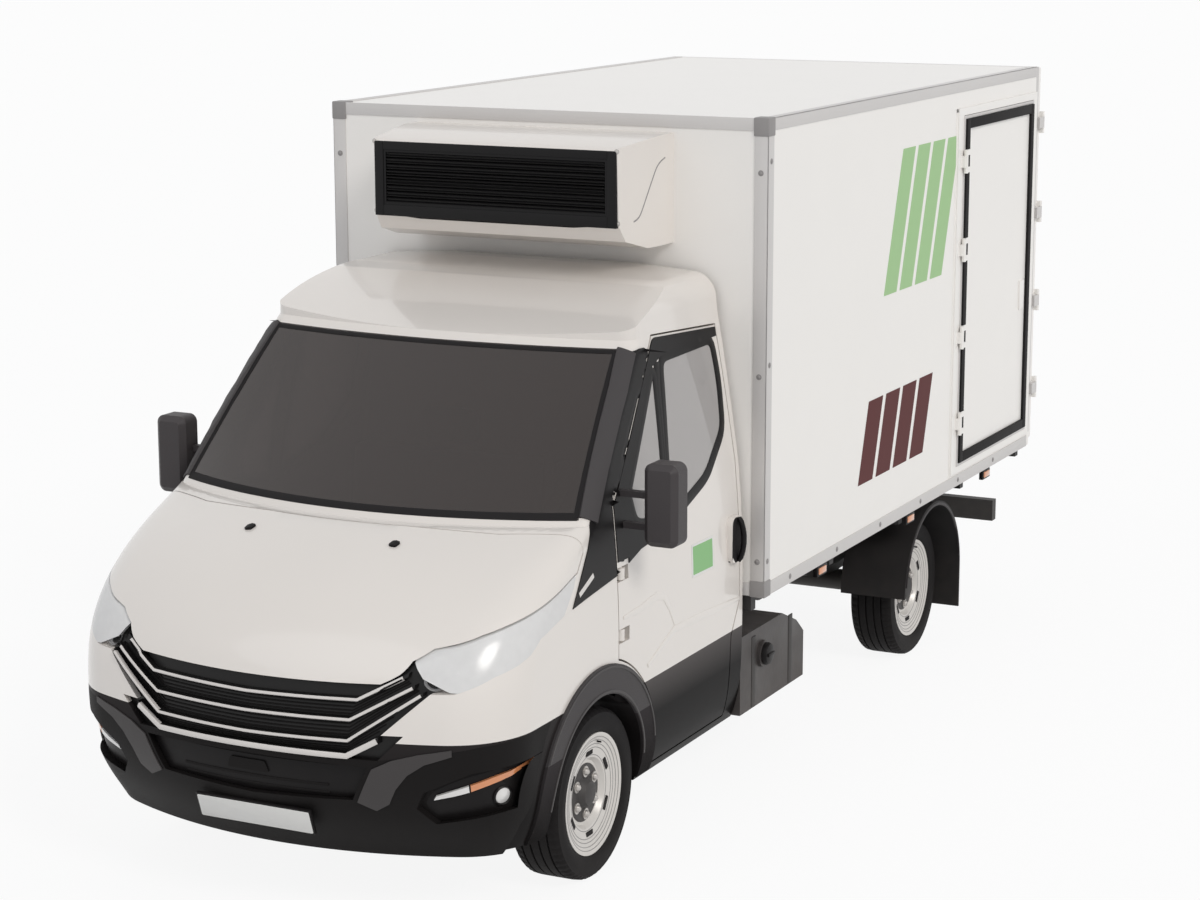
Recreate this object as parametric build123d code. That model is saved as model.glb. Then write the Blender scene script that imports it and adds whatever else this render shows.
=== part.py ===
from build123d import *
import math
import os

# Light truck with a semi-bonneted cab and an insulated box body.
# Millimetres. X across (+X is the vehicle's left), Y along (the front faces -Y), Z up from the ground.

# Lengths along the vehicle
CAB_LENGTH = 2486
CAB_BOX_GAP = 29
BOX_LENGTH = 3842
REAR_DOOR_THICK = 50
REAR_TRIM = 24
NOSE_TO_AXLE = 1066
WHEELBASE = 3750
OVERALL_LENGTH = CAB_LENGTH + CAB_BOX_GAP + BOX_LENGTH + REAR_DOOR_THICK + REAR_TRIM

NOSE_Y = -OVERALL_LENGTH / 2
FRONT_AXLE_Y = NOSE_Y + NOSE_TO_AXLE
REAR_AXLE_Y = FRONT_AXLE_Y + WHEELBASE
CAB_REAR_Y = NOSE_Y + CAB_LENGTH
BOX_FRONT_Y = CAB_REAR_Y + CAB_BOX_GAP
BOX_REAR_Y = BOX_FRONT_Y + BOX_LENGTH

# Cab
CAB_HALF = 1010
CAB_TOP_Z = 2345
CAB_WALL = 60
ROOF_WALL = 45
GLASS_THICK = 8
FLOOR_THICK = 40
FIREWALL_THICK = 50
FIREWALL_BACK = 80
SEAT_GAP = 0.3
SHUT_GAP = 6
OVERRUN = 200

# Wheels
TYRE_RADIUS = 355
TYRE_WIDTH = 225
WHEEL_FACE_X = 985
RIM_RADIUS = 254
RIM_WALL = 10
HUB_RADIUS = 135
HUB_THICK = 24
SLOT_RING_RADIUS = 172
SLOT_LENGTH = 62
SLOT_WIDTH = 20
SLOT_COUNT = 6
SPINDLE_RADIUS = 38
RUN_CLEARANCE = 0.3
BRAKE_RADIUS = 165
BRAKE_THICK = 60
KINGPIN_X = 800
KINGPIN_RADIUS = 16
KNUCKLE_RADIUS = 45
KNUCKLE_HEIGHT = 190
EYE_HEIGHT = 36

# Front wheel arch
ARCH_SHIFT_Y = -20
ARCH_Z = 360
ARCH_RADIUS = 418
MOULDING_WIDTH = 122
MOULDING_PROUD = 12
LINER_THICK = 10
LINER_INNER_X = 560
ARCH_BOTTOM_Z = 310

# Box body
BOX_HALF = 1100
BOX_UNDER_Z = 856
BOX_TOP_Z = 2990
BOX_FLOOR_THICK = 74
BOX_WALL = 60
FRAME_DEPTH = 46

# Chassis
RAIL_X = 390
RAIL_WIDTH = 80
RAIL_BOTTOM_Z = 560
RAIL_TOP_Z = 740
RAIL_FRONT_GAP = 330
FLOOR_Z = RAIL_TOP_Z + FLOOR_THICK
CROSS_HEIGHT = 90
CROSS_WIDTH = 100


def along(share):
    return NOSE_Y + share * CAB_LENGTH


def up(share):
    return share * CAB_TOP_Z


def across(share):
    return share * CAB_HALF


def block(x0, x1, y0, y1, z0, z1):
    centre = Pos((x0 + x1) / 2, (y0 + y1) / 2, (z0 + z1) / 2)
    return centre * Box(x1 - x0, y1 - y0, z1 - z0)


def side_prism(points, x0, x1):
    # A (y, z) outline carried across the vehicle from x0 to x1.
    face = make_face(Polyline([(x0, y, z) for y, z in points], close=True))
    return extrude(face, amount=x1 - x0, dir=(1, 0, 0))


def front_prism(points, y0, y1):
    # An (x, z) outline carried along the vehicle from y0 to y1.
    face = make_face(Polyline([(x, y0, z) for x, z in points], close=True))
    return extrude(face, amount=y1 - y0, dir=(0, 1, 0))


def tube_x(x0, x1, y, z, radius):
    middle = Pos((x0 + x1) / 2, y, z)
    return middle * Rot(0, 90, 0) * Cylinder(radius, abs(x1 - x0))


def tube_z(x, y, z0, z1, radius):
    return Pos(x, y, (z0 + z1) / 2) * Cylinder(radius, z1 - z0)


def mirrored(shape):
    return mirror(shape, about=Plane.YZ)


def pair(shape):
    return Compound(children=solids_of(shape) + solids_of(mirrored(shape)))


def solids_of(shape):
    if isinstance(shape, (list, tuple)):
        return [solid for item in shape for solid in item.solids()]
    return list(shape.solids())


def largest(shape):
    return max(solids_of(shape), key=lambda solid: solid.volume)


def save(node, shape):
    solids = solids_of(shape)
    os.makedirs("parts", exist_ok=True)
    whole = solids[0] if len(solids) == 1 else Compound(children=solids)
    export_step(whole, "parts/" + node + ".step")


# Plan contours of the cab, from below upwards. Each row gives the height (share of CAB_TOP_Z), where the
# middle of the front lies (share of CAB_LENGTH), and, as shares of CAB_HALF, the radius of the front, the
# half width and the corner radius.
NOSE_SHARES = [
    (0.124, 0.067, 1.88, 0.946, 0.327),
    (0.183, 0.033, 1.93, 0.985, 0.327),
    (0.256, 0.0065, 2.03, 0.998, 0.337),
    (0.324, 0.0025, 2.18, 1.0, 0.347),
    (0.384, 0.007, 2.28, 1.0, 0.347),
    (0.435, 0.018, 2.28, 1.0, 0.347),
]
HOOD_SHARES = [
    (0.435, 0.018, 2.28, 1.0, 0.347),
    (0.489, 0.045, 2.18, 0.997, 0.347),
    (0.542, 0.095, 2.03, 0.991, 0.337),
    (0.5885, 0.167, 1.83, 0.983, 0.297),
    (0.633, 0.272, 1.68, 0.974, 0.158),
]
UPPER_SHARES = [
    (0.633, 0.302, 1.94, 0.974, 0.09),
    (0.772, 0.458, 2.67, 0.926, 0.09),
    (0.91, 0.612, 3.56, 0.871, 0.09),
]
# The roof in side view (y, z) and in front view (x, z).
ROOF_SIDE_SHARES = [(0.612, 0.91), (0.767, 0.9646), (0.941, 0.9987), (1.0, 0.9953)]
ROOF_FRONT_SHARES = [(0.871, 0.91), (0.863, 0.938), (0.83, 0.972), (0.743, 0.987), (0, 1.0)]
COWL_SLAB_SHARE = 0.022
COWL_REAR_SHARE = 0.37


def contour(row, inset):
    z, yc = up(row[0]), along(row[1]) + inset
    front_r = across(row[2]) - inset
    half = across(row[3]) - inset
    corner = across(row[4]) - inset
    back = CAB_REAR_Y - inset
    cx = half - corner
    fy = yc + front_r
    cy = fy - math.sqrt((front_r - corner) ** 2 - cx ** 2)
    ux, uy = cx / (front_r - corner), (cy - fy) / (front_r - corner)
    kx, ky = front_r * ux, fy + front_r * uy
    turn = math.atan2(ky - cy, kx - cx) / 2
    mx, my = cx + corner * math.cos(turn), cy + corner * math.sin(turn)
    edges = [
        ThreePointArc((-kx, ky, z), (0, yc, z), (kx, ky, z)),
        ThreePointArc((kx, ky, z), (mx, my, z), (half, cy, z)),
        Line((half, cy, z), (half, back, z)),
        Line((half, back, z), (-half, back, z)),
        Line((-half, back, z), (-half, cy, z)),
        ThreePointArc((-half, cy, z), (-mx, my, z), (-kx, ky, z)),
    ]
    return make_face(Wire(edges))


def roof_form(inset):
    (y0, z0), (y1, z1), (y2, z2), (y3, z3) = [
        (along(y), up(z)) for y, z in ROOF_SIDE_SHARES
    ]
    far = CAB_HALF + OVERRUN
    side_edges = [
        ThreePointArc((-far, y0 + inset / 2, z0), (-far, y1 + inset, z1 - inset), (-far, y2, z2 - inset)),
        Line((-far, y2, z2 - inset), (-far, y3 - inset, z3 - inset)),
        Line((-far, y3 - inset, z3 - inset), (-far, y3 - inset, z0)),
        Line((-far, y3 - inset, z0), (-far, y0 + inset / 2, z0)),
    ]
    side = extrude(make_face(Wire(side_edges)), amount=2 * far, dir=(1, 0, 0))
    (xa, za), (xb, zb), (xc, zc), (xd, zd), (xe, ze) = [
        (across(x) - inset if x else 0, up(z)) for x, z in ROOF_FRONT_SHARES
    ]
    start = y0 - OVERRUN
    zb, zc, zd, ze = zb - inset, zc - inset, zd - inset, ze - inset
    front_edges = [
        Line((-xa, start, za), (-xb, start, zb)),
        ThreePointArc((-xb, start, zb), (-xc, start, zc), (-xd, start, zd)),
        ThreePointArc((-xd, start, zd), (xe, start, ze), (xd, start, zd)),
        ThreePointArc((xd, start, zd), (xc, start, zc), (xb, start, zb)),
        Line((xb, start, zb), (xa, start, za)),
        Line((xa, start, za), (-xa, start, za)),
    ]
    front = extrude(make_face(Wire(front_edges)), amount=CAB_LENGTH, dir=(0, 1, 0))
    plan = extrude(contour(UPPER_SHARES[-1], inset), amount=CAB_TOP_Z, dir=(0, 0, 1))
    return side & front & plan


def nose_form(inset):
    return loft([contour(row, inset) for row in NOSE_SHARES])


def hood_form(inset):
    return loft([contour(row, inset) for row in HOOD_SHARES])


def upper_form(inset):
    return loft([contour(row, inset) for row in UPPER_SHARES])


def cab_form(inset, roof_inset):
    return nose_form(inset) + hood_form(inset) + upper_form(inset) + roof_form(roof_inset)


# Lines where the cab's panels meet. Side views are (y, z), front views (x, z), plans (x, y), all as shares
# of the cab's length, height and half width.
BONNET_SIDE_SHARES = [
    (-0.022, 0.4256), (0.044, 0.4337), (0.057, 0.4495), (0.072, 0.4704), (0.093, 0.489), (0.137, 0.508),
    (0.169, 0.518), (0.2325, 0.535), (0.351, 0.568), (0.376, 0.597), (0.393, 0.665),
]
BONNET_REAR_SHARES = [(0, 0.2755), (0.686, 0.3166), (0.938, 0.368), (1.1, 0.4)]
LAMP_LOWER_SHARES = [
    (-0.022, 0.42), (0.075, 0.422), (0.1215, 0.445), (0.1645, 0.4576), (0.192, 0.468), (0.22, 0.487),
    (0.3, 0.506), (0.338, 0.545), (0.348, 0.566),
]
LAMP_INNER_SHARES = [(0.634, 0.495), (0.65, 0.468), (0.695, 0.445), (0.798, 0.4252), (1.2, 0.405)]
GRILLE_SHARES = [(0.7485, 0.4294), (0.5545, 0.3514), (0.6386, 0.3518), (0.5396, 0.3083), (0, 0.3134)]
BUMPER_TOP_SHARES = [(0, 0.3134), (0.5396, 0.3083), (0.704, 0.3194), (0.899, 0.3339), (1.2, 0.343)]
BUMPER_REAR_SHARES = [
    (0.256, 0.3454), (0.2297, 0.3122), (0.2036, 0.2644), (0.1915, 0.2132), (0.174, 0.18), (0.174, 0.08),
]
FENDER_TOP_SHARES = [(0.3, 0.506), (0.491, 0.527)]
DOOR_SHARES = [
    (0.4932, 0.1429), (0.4932, 0.6495), (0.7245, 0.9083), (0.9783, 0.8904), (0.9839, 0.64),
    (0.9847, 0.3633), (0.9493, 0.3032), (0.9473, 0.28), (0.9473, 0.1429),
]
MAIN_GLASS_SHARES = [
    (0.7426, 0.8678), (0.955, 0.871), (0.961, 0.792), (0.951, 0.7006), (0.861, 0.6277), (0.751, 0.5936),
    (0.7, 0.583), (0.714, 0.7),
]
QUARTER_GLASS_SHARES = [
    (0.7, 0.849), (0.564, 0.672), (0.556, 0.655), (0.5696, 0.601), (0.685, 0.58), (0.699, 0.7), (0.713, 0.84),
]
SCREEN_SHARES = [(0.926, 0.6425), (0.826, 0.8975)]


def in_side(shares):
    return [(along(y), up(z)) for y, z in shares]


def in_front(shares):
    return [(across(x), up(z)) for x, z in shares]


def bonnet_zone(grow):
    far = CAB_HALF + OVERRUN
    curve = [(y + grow, z - grow) for y, z in in_side(BONNET_SIDE_SHARES)]
    closed = curve + [(curve[-1][0], CAB_TOP_Z), (curve[0][0], CAB_TOP_Z)]
    side = side_prism(closed, -far, far)
    rear = [(across(x), along(y) + grow) for x, y in BONNET_REAR_SHARES]
    front_y = NOSE_Y - OVERRUN
    base = up(NOSE_SHARES[0][0])
    (xa, ya), (xb, yb), (xc, yc), (xd, yd) = rear
    edges = [
        ThreePointArc((-xb, yb, base), (xa, ya, base), (xb, yb, base)),
        Polyline((xb, yb, base), (xc, yc, base), (xd, yd, base), (xd, front_y, base)),
        Line((xd, front_y, base), (-xd, front_y, base)),
        Polyline((-xd, front_y, base), (-xd, yd, base), (-xc, yc, base), (-xb, yb, base)),
    ]
    plan = extrude(make_face(Wire([e for item in edges for e in item.edges()])), amount=CAB_TOP_Z, dir=(0, 0, 1))
    return side & plan


def lamp_zone(grow):
    far = CAB_HALF + OVERRUN
    lower = [(y, z - grow) for y, z in in_side(LAMP_LOWER_SHARES)]
    upper = [(y, z + grow) for y, z in in_side(BONNET_SIDE_SHARES) if y <= lower[-1][0]]
    side = side_prism(lower + upper[::-1], 0, far)
    inner = [(x - grow, z - grow) for x, z in in_front(LAMP_INNER_SHARES)]
    top = CAB_TOP_Z
    closed = inner + [(inner[-1][0], top), (inner[0][0], top)]
    return side & front_prism(closed, NOSE_Y - OVERRUN, FRONT_AXLE_Y)


def grille_zone(grow):
    edge = [(x + 2 * grow, z + grow) for x, z in in_front(GRILLE_SHARES[:-1])]
    edge[-1] = (edge[-1][0], edge[-1][1] - 2 * grow)
    bottom = up(GRILLE_SHARES[-1][1]) - grow
    top = up(BONNET_SIDE_SHARES[4][1])
    right = [(edge[0][0], top)] + edge
    left = [(-x, z) for x, z in right[::-1]]
    return front_prism(right + [(0, bottom)] + left, NOSE_Y - OVERRUN, along(LAMP_LOWER_SHARES[2][0]))


def bumper_zone(grow):
    far = CAB_HALF + OVERRUN
    top = [(x, z + grow) for x, z in in_front(BUMPER_TOP_SHARES)]
    bottom = 0
    outline = [(-x, z) for x, z in top[::-1]] + top[1:] + [(top[-1][0], bottom), (-top[-1][0], bottom)]
    rear = [(y + grow, z) for y, z in in_side(BUMPER_REAR_SHARES)]
    front_y = NOSE_Y - OVERRUN
    side = side_prism(rear + [(front_y, rear[-1][1]), (front_y, rear[0][1])], -far, far)
    return front_prism(outline, front_y, FRONT_AXLE_Y) & side


def arch_cylinder(radius, x0, x1):
    return tube_x(x0, x1, FRONT_AXLE_Y + ARCH_SHIFT_Y, ARCH_Z, radius)


def fender_zone(grow):
    far = CAB_HALF + OVERRUN
    lamp = [(y, z + grow) for y, z in in_side(LAMP_LOWER_SHARES) if y < in_side(FENDER_TOP_SHARES)[0][0]]
    top = [(y, z + grow) for y, z in in_side(FENDER_TOP_SHARES)]
    rear_y = along(DOOR_SHARES[0][0]) - SHUT_GAP + grow
    base = ARCH_BOTTOM_Z
    outline = lamp + top[:1] + [(rear_y, top[-1][1]), (rear_y, base), (NOSE_Y - OVERRUN, base)]
    zone = side_prism(outline, 0, far)
    ring = arch_cylinder(ARCH_RADIUS + MOULDING_WIDTH + grow, LINER_INNER_X, far)
    ring &= block(0, far, NOSE_Y, CAB_REAR_Y, base, CAB_TOP_Z)
    return zone + ring


# Door hinges: the axis lies just inside the skin, a little behind the front edge.
HINGE_INSET_X = 20
HINGE_BACK_Y = 45
HINGE_PIN_RADIUS = 8
HINGE_BARREL_RADIUS = 20
HINGE_HEIGHT = 60
HINGE_Z_SHARES = [0.405, 0.515]
DOOR_FRONT_Y = along(DOOR_SHARES[0][0])
HINGE_X = CAB_HALF - HINGE_INSET_X
HINGE_Y = DOOR_FRONT_Y + HINGE_BACK_Y
DRUM_RADIUS = math.hypot(HINGE_INSET_X, HINGE_BACK_Y)
DOOR_REAR_GAP = 8
SWING_MARGIN = 3
DOOR_ARCH_GAP = 20
DOOR_ARCH_CLEAR_R = ARCH_RADIUS + MOULDING_WIDTH + DOOR_ARCH_GAP
PILLAR_INNER_X = 870


def door_zone(grow):
    # The left door's outline, bounded in front by a drum about the hinge axis and by the wheel arch.
    far = CAB_HALF + OVERRUN
    points = in_side(DOOR_SHARES)
    middle_y = (points[0][0] + points[3][0]) / 2
    middle_z = (points[0][1] + points[2][1]) / 2
    grown = []
    for y, z in points:
        shift_y = grow if y > middle_y else -grow
        shift_z = grow if z > middle_z else -grow
        grown.append((y + shift_y, z + shift_z))
    zone = side_prism(grown, across(SCREEN_SHARES[1][0]) / 2, far)
    zone -= arch_cylinder(DOOR_ARCH_CLEAR_R - grow, 0, far)
    drum_top = up(DOOR_SHARES[1][1])
    corner = block(0, far, DOOR_FRONT_Y - OVERRUN, HINGE_Y, 0, drum_top)
    drum = tube_z(HINGE_X, HINGE_Y, 0, drum_top, DRUM_RADIUS + grow)
    zone -= corner - drum
    return zone


def hinge_levels():
    return [up(share) for share in HINGE_Z_SHARES]


def glass_zone(shares, x0, x1):
    return side_prism(in_side(shares), x0, x1)


def screen_zone():
    (xb, zb), (xt, zt) = in_front(SCREEN_SHARES)
    return front_prism([(-xb, zb), (xb, zb), (xt, zt), (-xt, zt)], NOSE_Y, along(SCREEN_REAR_SHARE))


SCREEN_REAR_SHARE = 0.66
STEP_INNER_SHARE = 0.69
STEP_OUTER_SHARE = 0.88
STEP_Z = 335
STEP_THICK = 30
TUNNEL_HALF = 540


def cab_parts():
    outer = cab_form(0, 0)
    inner = cab_form(CAB_WALL, ROOF_WALL)
    far = CAB_HALF + OVERRUN
    shell = outer - inner
    bonnet_t = bonnet_zone(0)
    bonnet_cut = bonnet_zone(SHUT_GAP)
    nodes = {}

    bonnet = shell & bonnet_t
    nodes["bonnet"] = largest(bonnet)

    lamp = (shell & lamp_zone(0)) - bonnet_cut
    nodes["headlamps"] = pair(largest(lamp))
    lamp_cut = lamp_zone(SEAT_GAP)
    lamp_cuts = lamp_cut + mirrored(lamp_cut)

    nodes["grille"] = grille(bonnet_cut + lamp_cuts)
    grille_cut = grille_zone(SEAT_GAP)
    nodes["front_bumper"] = front_bumper(shell, grille_cut)
    bumper_cut = bumper_zone(SEAT_GAP)

    fender = shell & fender_zone(0)
    fender -= bonnet_cut
    fender -= lamp_cut
    fender -= grille_cut
    fender -= bumper_cut
    fender -= arch_cylinder(ARCH_RADIUS, LINER_INNER_X, far)
    fender = largest(fender) + arch_liner(inner)
    fender -= tube_z(HINGE_X, HINGE_Y, 0, CAB_TOP_Z, DRUM_RADIUS + SHUT_GAP)
    nodes["front_fenders"] = pair(largest(fender))
    nodes["arch_mouldings"] = pair(largest(arch_moulding()))

    reach = rear_wall_reach(inner)
    door = door_solid(shell, Pos(SHUT_GAP, 0, 0) * reach)
    nodes["door_left"] = door
    nodes["door_right"] = mirrored(door)
    panes = side_panes()
    nodes["door_glass_left"] = panes
    nodes["door_glass_right"] = mirrored(panes)

    screen = (upper_form(0) - upper_form(GLASS_THICK)) & screen_zone()
    nodes["windscreen"] = largest(screen)
    nodes["cab_body"] = cab_body(outer, inner, bonnet_cut, lamp_cuts, reach)
    return nodes


BAR_SHARES = [
    # Grille bars: height of the upper edge at the middle, at the bend and at the end, then the half width
    # at the bend and at the end, and the bar's own height.
    (0.4068, 0.411, 0.453, 0.462, 0.64, 0.006),
    (0.3755, 0.378, 0.436, 0.438, 0.672, 0.006),
    (0.3405, 0.343, 0.4245, 0.43, 0.706, 0.006),
    (0.3195, 0.319, 0.349, 0.425, 0.548, 0.011),
]
BAR_PROUD = 6
GRILLE_RECESS = 26


def front_form(inset):
    return nose_form(inset) + hood_form(inset)


def bar_prisms():
    front_y = NOSE_Y - OVERRUN
    bars = []
    for z_mid, z_bend, z_end, x_bend, x_end, thick in BAR_SHARES:
        top = [(x_end, z_end), (x_bend, z_bend), (0, z_mid), (-x_bend, z_bend), (-x_end, z_end)]
        under = [(x, z - thick) for x, z in top]
        bars += solids_of(front_prism(in_front(top + under[::-1]), front_y, FRONT_AXLE_Y))
    return Compound(children=bars)


def grille(cuts):
    # A panel with bright bars that follow the nose, and the field between them sunk.
    proud = front_form(-BAR_PROUD)
    chunk = ((proud & grille_zone(0)) - front_form(CAB_WALL)) - cuts
    field = grille_zone(OVERRUN / 2) - bar_prisms()
    sunk = field & (front_form(-2 * BAR_PROUD) - front_form(GRILLE_RECESS))
    chunk -= sunk
    return largest(chunk)


INTAKE_SHARES = [(0, 0.3), (0.5, 0.296), (0.43, 0.235), (0, 0.228)]
INTAKE_DEPTH = 30
FOG_SHARES = [(0.665, 0.225), (0.70, 0.255), (0.87, 0.29), (1.0, 0.295), (0.97, 0.215), (0.72, 0.195)]
FOG_DEPTH = 34


def front_bumper(shell, grille_cut):
    body = shell & bumper_zone(0)
    body -= grille_cut
    front_y = NOSE_Y - OVERRUN
    deep = nose_form(-CAB_WALL) - nose_form(INTAKE_DEPTH)
    right = in_front(INTAKE_SHARES)
    outline = right + [(-x, z) for x, z in right[::-1] if x]
    body -= front_prism(outline, front_y, FRONT_AXLE_Y) & deep
    fog_deep = nose_form(-CAB_WALL) - nose_form(FOG_DEPTH)
    pocket = front_prism(in_front(FOG_SHARES), front_y, FRONT_AXLE_Y) & fog_deep
    body -= pocket
    body -= mirrored(pocket)
    return largest(body)


def arch_liner(inner):
    ring = arch_cylinder(ARCH_RADIUS + LINER_THICK, LINER_INNER_X, CAB_HALF - CAB_WALL)
    ring -= arch_cylinder(ARCH_RADIUS, LINER_INNER_X - OVERRUN, CAB_HALF)
    top = block(0, CAB_HALF, NOSE_Y, CAB_REAR_Y, ARCH_BOTTOM_Z, CAB_TOP_Z)
    return ring & top & inner


def arch_moulding():
    far = CAB_HALF + OVERRUN
    skin = nose_form(-MOULDING_PROUD) - nose_form(0)
    ring = arch_cylinder(ARCH_RADIUS + MOULDING_WIDTH, LINER_INNER_X, far)
    ring -= arch_cylinder(ARCH_RADIUS, 0, far)
    ring &= block(0, far, NOSE_Y, CAB_REAR_Y, ARCH_BOTTOM_Z, CAB_TOP_Z)
    return skin & ring


HANDLE_SHARES = [(0.931, 0.445), (0.979, 0.533)]
HANDLE_PROUD = 22
HANDLE_DEPTH = 30


def rear_wall_reach(inner):
    # The room behind the cab's hollow, where its rear wall stands and no door reaches.
    reach = []
    for face in inner.faces().filter_by(Axis.Y):
        if face.center().Y > CAB_REAR_Y - CAB_WALL - OVERRUN:
            reach += solids_of(extrude(face, amount=CAB_WALL + OVERRUN, dir=(0, 1, 0)))
    return Compound(children=reach)


def swing_room():
    # What the left door may fill without its inner rear edge striking the pillar as it swings.
    levels = in_side(DOOR_SHARES)
    (y0, z0), (y1, z1) = levels[4], levels[3]
    low, high = (y - HINGE_Y + SWING_MARGIN for y in (y0, y1))
    rise = (low - high) * (CAB_TOP_Z - z0) / (z1 - z0)
    cone = Cone(low, low - rise, CAB_TOP_Z - z0, align=(Align.CENTER, Align.CENTER, Align.MIN))
    return tube_z(HINGE_X, HINGE_Y, 0, z0, low) + Pos(HINGE_X, HINGE_Y, z0) * cone


def door_solid(shell, rear_wall):
    door = (shell - rear_wall) & door_zone(0)
    door = door & swing_room()
    for shares in (MAIN_GLASS_SHARES, QUARTER_GLASS_SHARES):
        door -= glass_zone(shares, 0, CAB_HALF + OVERRUN)
    pins = []
    for z in hinge_levels():
        door -= tube_z(HINGE_X, HINGE_Y, z, z + HINGE_HEIGHT, DRUM_RADIUS + SHUT_GAP)
        pins.append(tube_z(HINGE_X, HINGE_Y, z - SHUT_GAP, z + HINGE_HEIGHT + SHUT_GAP, HINGE_PIN_RADIUS))
    door = largest(door)
    for pin in pins:
        door += pin
    (y0, z0), (y1, z1) = in_side(HANDLE_SHARES)
    handle = block(CAB_HALF - HANDLE_DEPTH, CAB_HALF + HANDLE_PROUD, y0, y1, z0, z1)
    door += fillet(handle.edges().filter_by(Axis.X), (y1 - y0) / 3)
    return largest(door)


def side_panes():
    skin = upper_form(0) + hood_form(0)
    skin -= upper_form(GLASS_THICK)
    skin -= hood_form(GLASS_THICK)
    panes = []
    for shares in (MAIN_GLASS_SHARES, QUARTER_GLASS_SHARES):
        panes.append(largest(skin & glass_zone(shares, CAB_HALF / 2, CAB_HALF + OVERRUN)))
    return Compound(children=panes)


def cab_body(outer, inner, bonnet_cut, lamp_cuts, rear_wall):
    far = CAB_HALF + OVERRUN
    fire_y = FRONT_AXLE_Y - FIREWALL_BACK
    cowl_top = up(UPPER_SHARES[0][0])
    slab = block(-far, far, NOSE_Y, along(COWL_REAR_SHARE), cowl_top - up(COWL_SLAB_SHARE), cowl_top)
    firewall = block(-far, far, fire_y - FIREWALL_THICK, fire_y, ARCH_Z, cowl_top)
    floor = block(-far, far, fire_y - FIREWALL_THICK, CAB_REAR_Y, FLOOR_Z - FLOOR_THICK, FLOOR_Z)
    cavity = inner - slab
    cavity -= firewall
    cavity -= floor
    body = outer - cavity
    door_cut = door_zone(DOOR_REAR_GAP) - rear_wall
    fender_cut = fender_zone(SEAT_GAP)
    body -= bonnet_cut
    for cut in (door_cut, fender_cut & (outer - inner)):
        body -= cut
        body -= mirrored(cut)
    body -= lamp_cuts
    body -= grille_zone(SEAT_GAP)
    body -= bumper_zone(SEAT_GAP)
    body -= screen_zone()
    body -= block(-TUNNEL_HALF, TUNNEL_HALF, NOSE_Y, CAB_REAR_Y + OVERRUN, 0, FLOOR_Z - FLOOR_THICK)
    body = largest(body)
    step = step_well()
    hinge = hinge_pillar()
    for piece in (step, hinge):
        body += piece
        body += mirrored(piece)
    recess = tube_z(HINGE_X, HINGE_Y, 0, CAB_TOP_Z, HINGE_PIN_RADIUS + RUN_CLEARANCE)
    wheel = arch_cylinder(ARCH_RADIUS + LINER_THICK + SEAT_GAP, LINER_INNER_X - SHUT_GAP, far)
    for cut in (recess, wheel):
        body -= cut
        body -= mirrored(cut)
    return largest(body)


def step_well():
    x0 = across(STEP_INNER_SHARE)
    x1 = across(STEP_OUTER_SHARE)
    y0 = FRONT_AXLE_Y + ARCH_SHIFT_Y + ARCH_RADIUS + MOULDING_WIDTH
    y1 = CAB_REAR_Y - CAB_WALL
    tread = block(x0, x1, y0, y1, STEP_Z, STEP_Z + STEP_THICK)
    riser = block(x0, x0 + STEP_THICK, y0, y1, STEP_Z, FLOOR_Z)
    return tread + riser


def hinge_pillar():
    # The inner pillar behind the front fender, with the two fixed hinge knuckles.
    x1 = HINGE_X - DRUM_RADIUS - SHUT_GAP
    y0 = FRONT_AXLE_Y - FIREWALL_BACK
    y1 = HINGE_Y + HINGE_BARREL_RADIUS
    low = FLOOR_Z
    high = hinge_levels()[-1] + HINGE_HEIGHT + HINGE_BARREL_RADIUS
    pillar = block(PILLAR_INNER_X, x1, y0, y1, low, high)
    for z in hinge_levels():
        z0, z1 = z + SHUT_GAP, z + HINGE_HEIGHT - SHUT_GAP
        pillar += tube_z(HINGE_X, HINGE_Y, z0, z1, HINGE_BARREL_RADIUS)
        pillar += block(x1, HINGE_X, HINGE_Y - HINGE_BARREL_RADIUS, HINGE_Y, z0, z1)
    return pillar


# Mirrors, each on two arms from the front corner of its door
MIRROR_X = 1185
MIRROR_WIDTH = 150
MIRROR_FRONT_SHARE = 0.495
MIRROR_DEPTH = 110
MIRROR_LOW_SHARE = 0.584
MIRROR_HIGH_SHARE = 0.73
MIRROR_CORNER = 36
ARM_HEIGHT = 26
ARM_DEPTH = 34
ARM_SHARES = [0.606, 0.662]
ARM_ROOT_SHARE = 0.955
ARM_Y_SHARE = 0.522


def mirror_solid():
    y0 = along(MIRROR_FRONT_SHARE)
    y1 = y0 + MIRROR_DEPTH
    z0, z1 = up(MIRROR_LOW_SHARE), up(MIRROR_HIGH_SHARE)
    head = block(MIRROR_X - MIRROR_WIDTH / 2, MIRROR_X + MIRROR_WIDTH / 2, y0, y1, z0, z1)
    upright = head.edges().filter_by(Axis.Y)
    head = fillet(upright, MIRROR_CORNER)
    head = chamfer(head.faces().sort_by(Axis.Y)[0].edges(), MIRROR_CORNER * 2 / 3)
    arm_y = along(ARM_Y_SHARE)
    for share in ARM_SHARES:
        z = up(share)
        head += block(across(ARM_ROOT_SHARE), MIRROR_X, arm_y, arm_y + ARM_DEPTH, z, z + ARM_HEIGHT)
    return head


def wheel_profile(points):
    # A half section in (across, radius) about the wheel's own axis.
    face = make_face(Polyline([(x, 0, r) for x, r in points], close=True))
    return revolve(face, axis=Axis.X)


TREAD_EDGE = 22
BEAD_INSET = 12
RIM_SHELL_INNER = 228
RIM_DISC_DEPTH = 26
RIM_DISC_THICK = 14
HUB_FACE_DEPTH = 46
RIM_STEP_RADIUS = 218
RIM_STEP_DEPTH = 12


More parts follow.
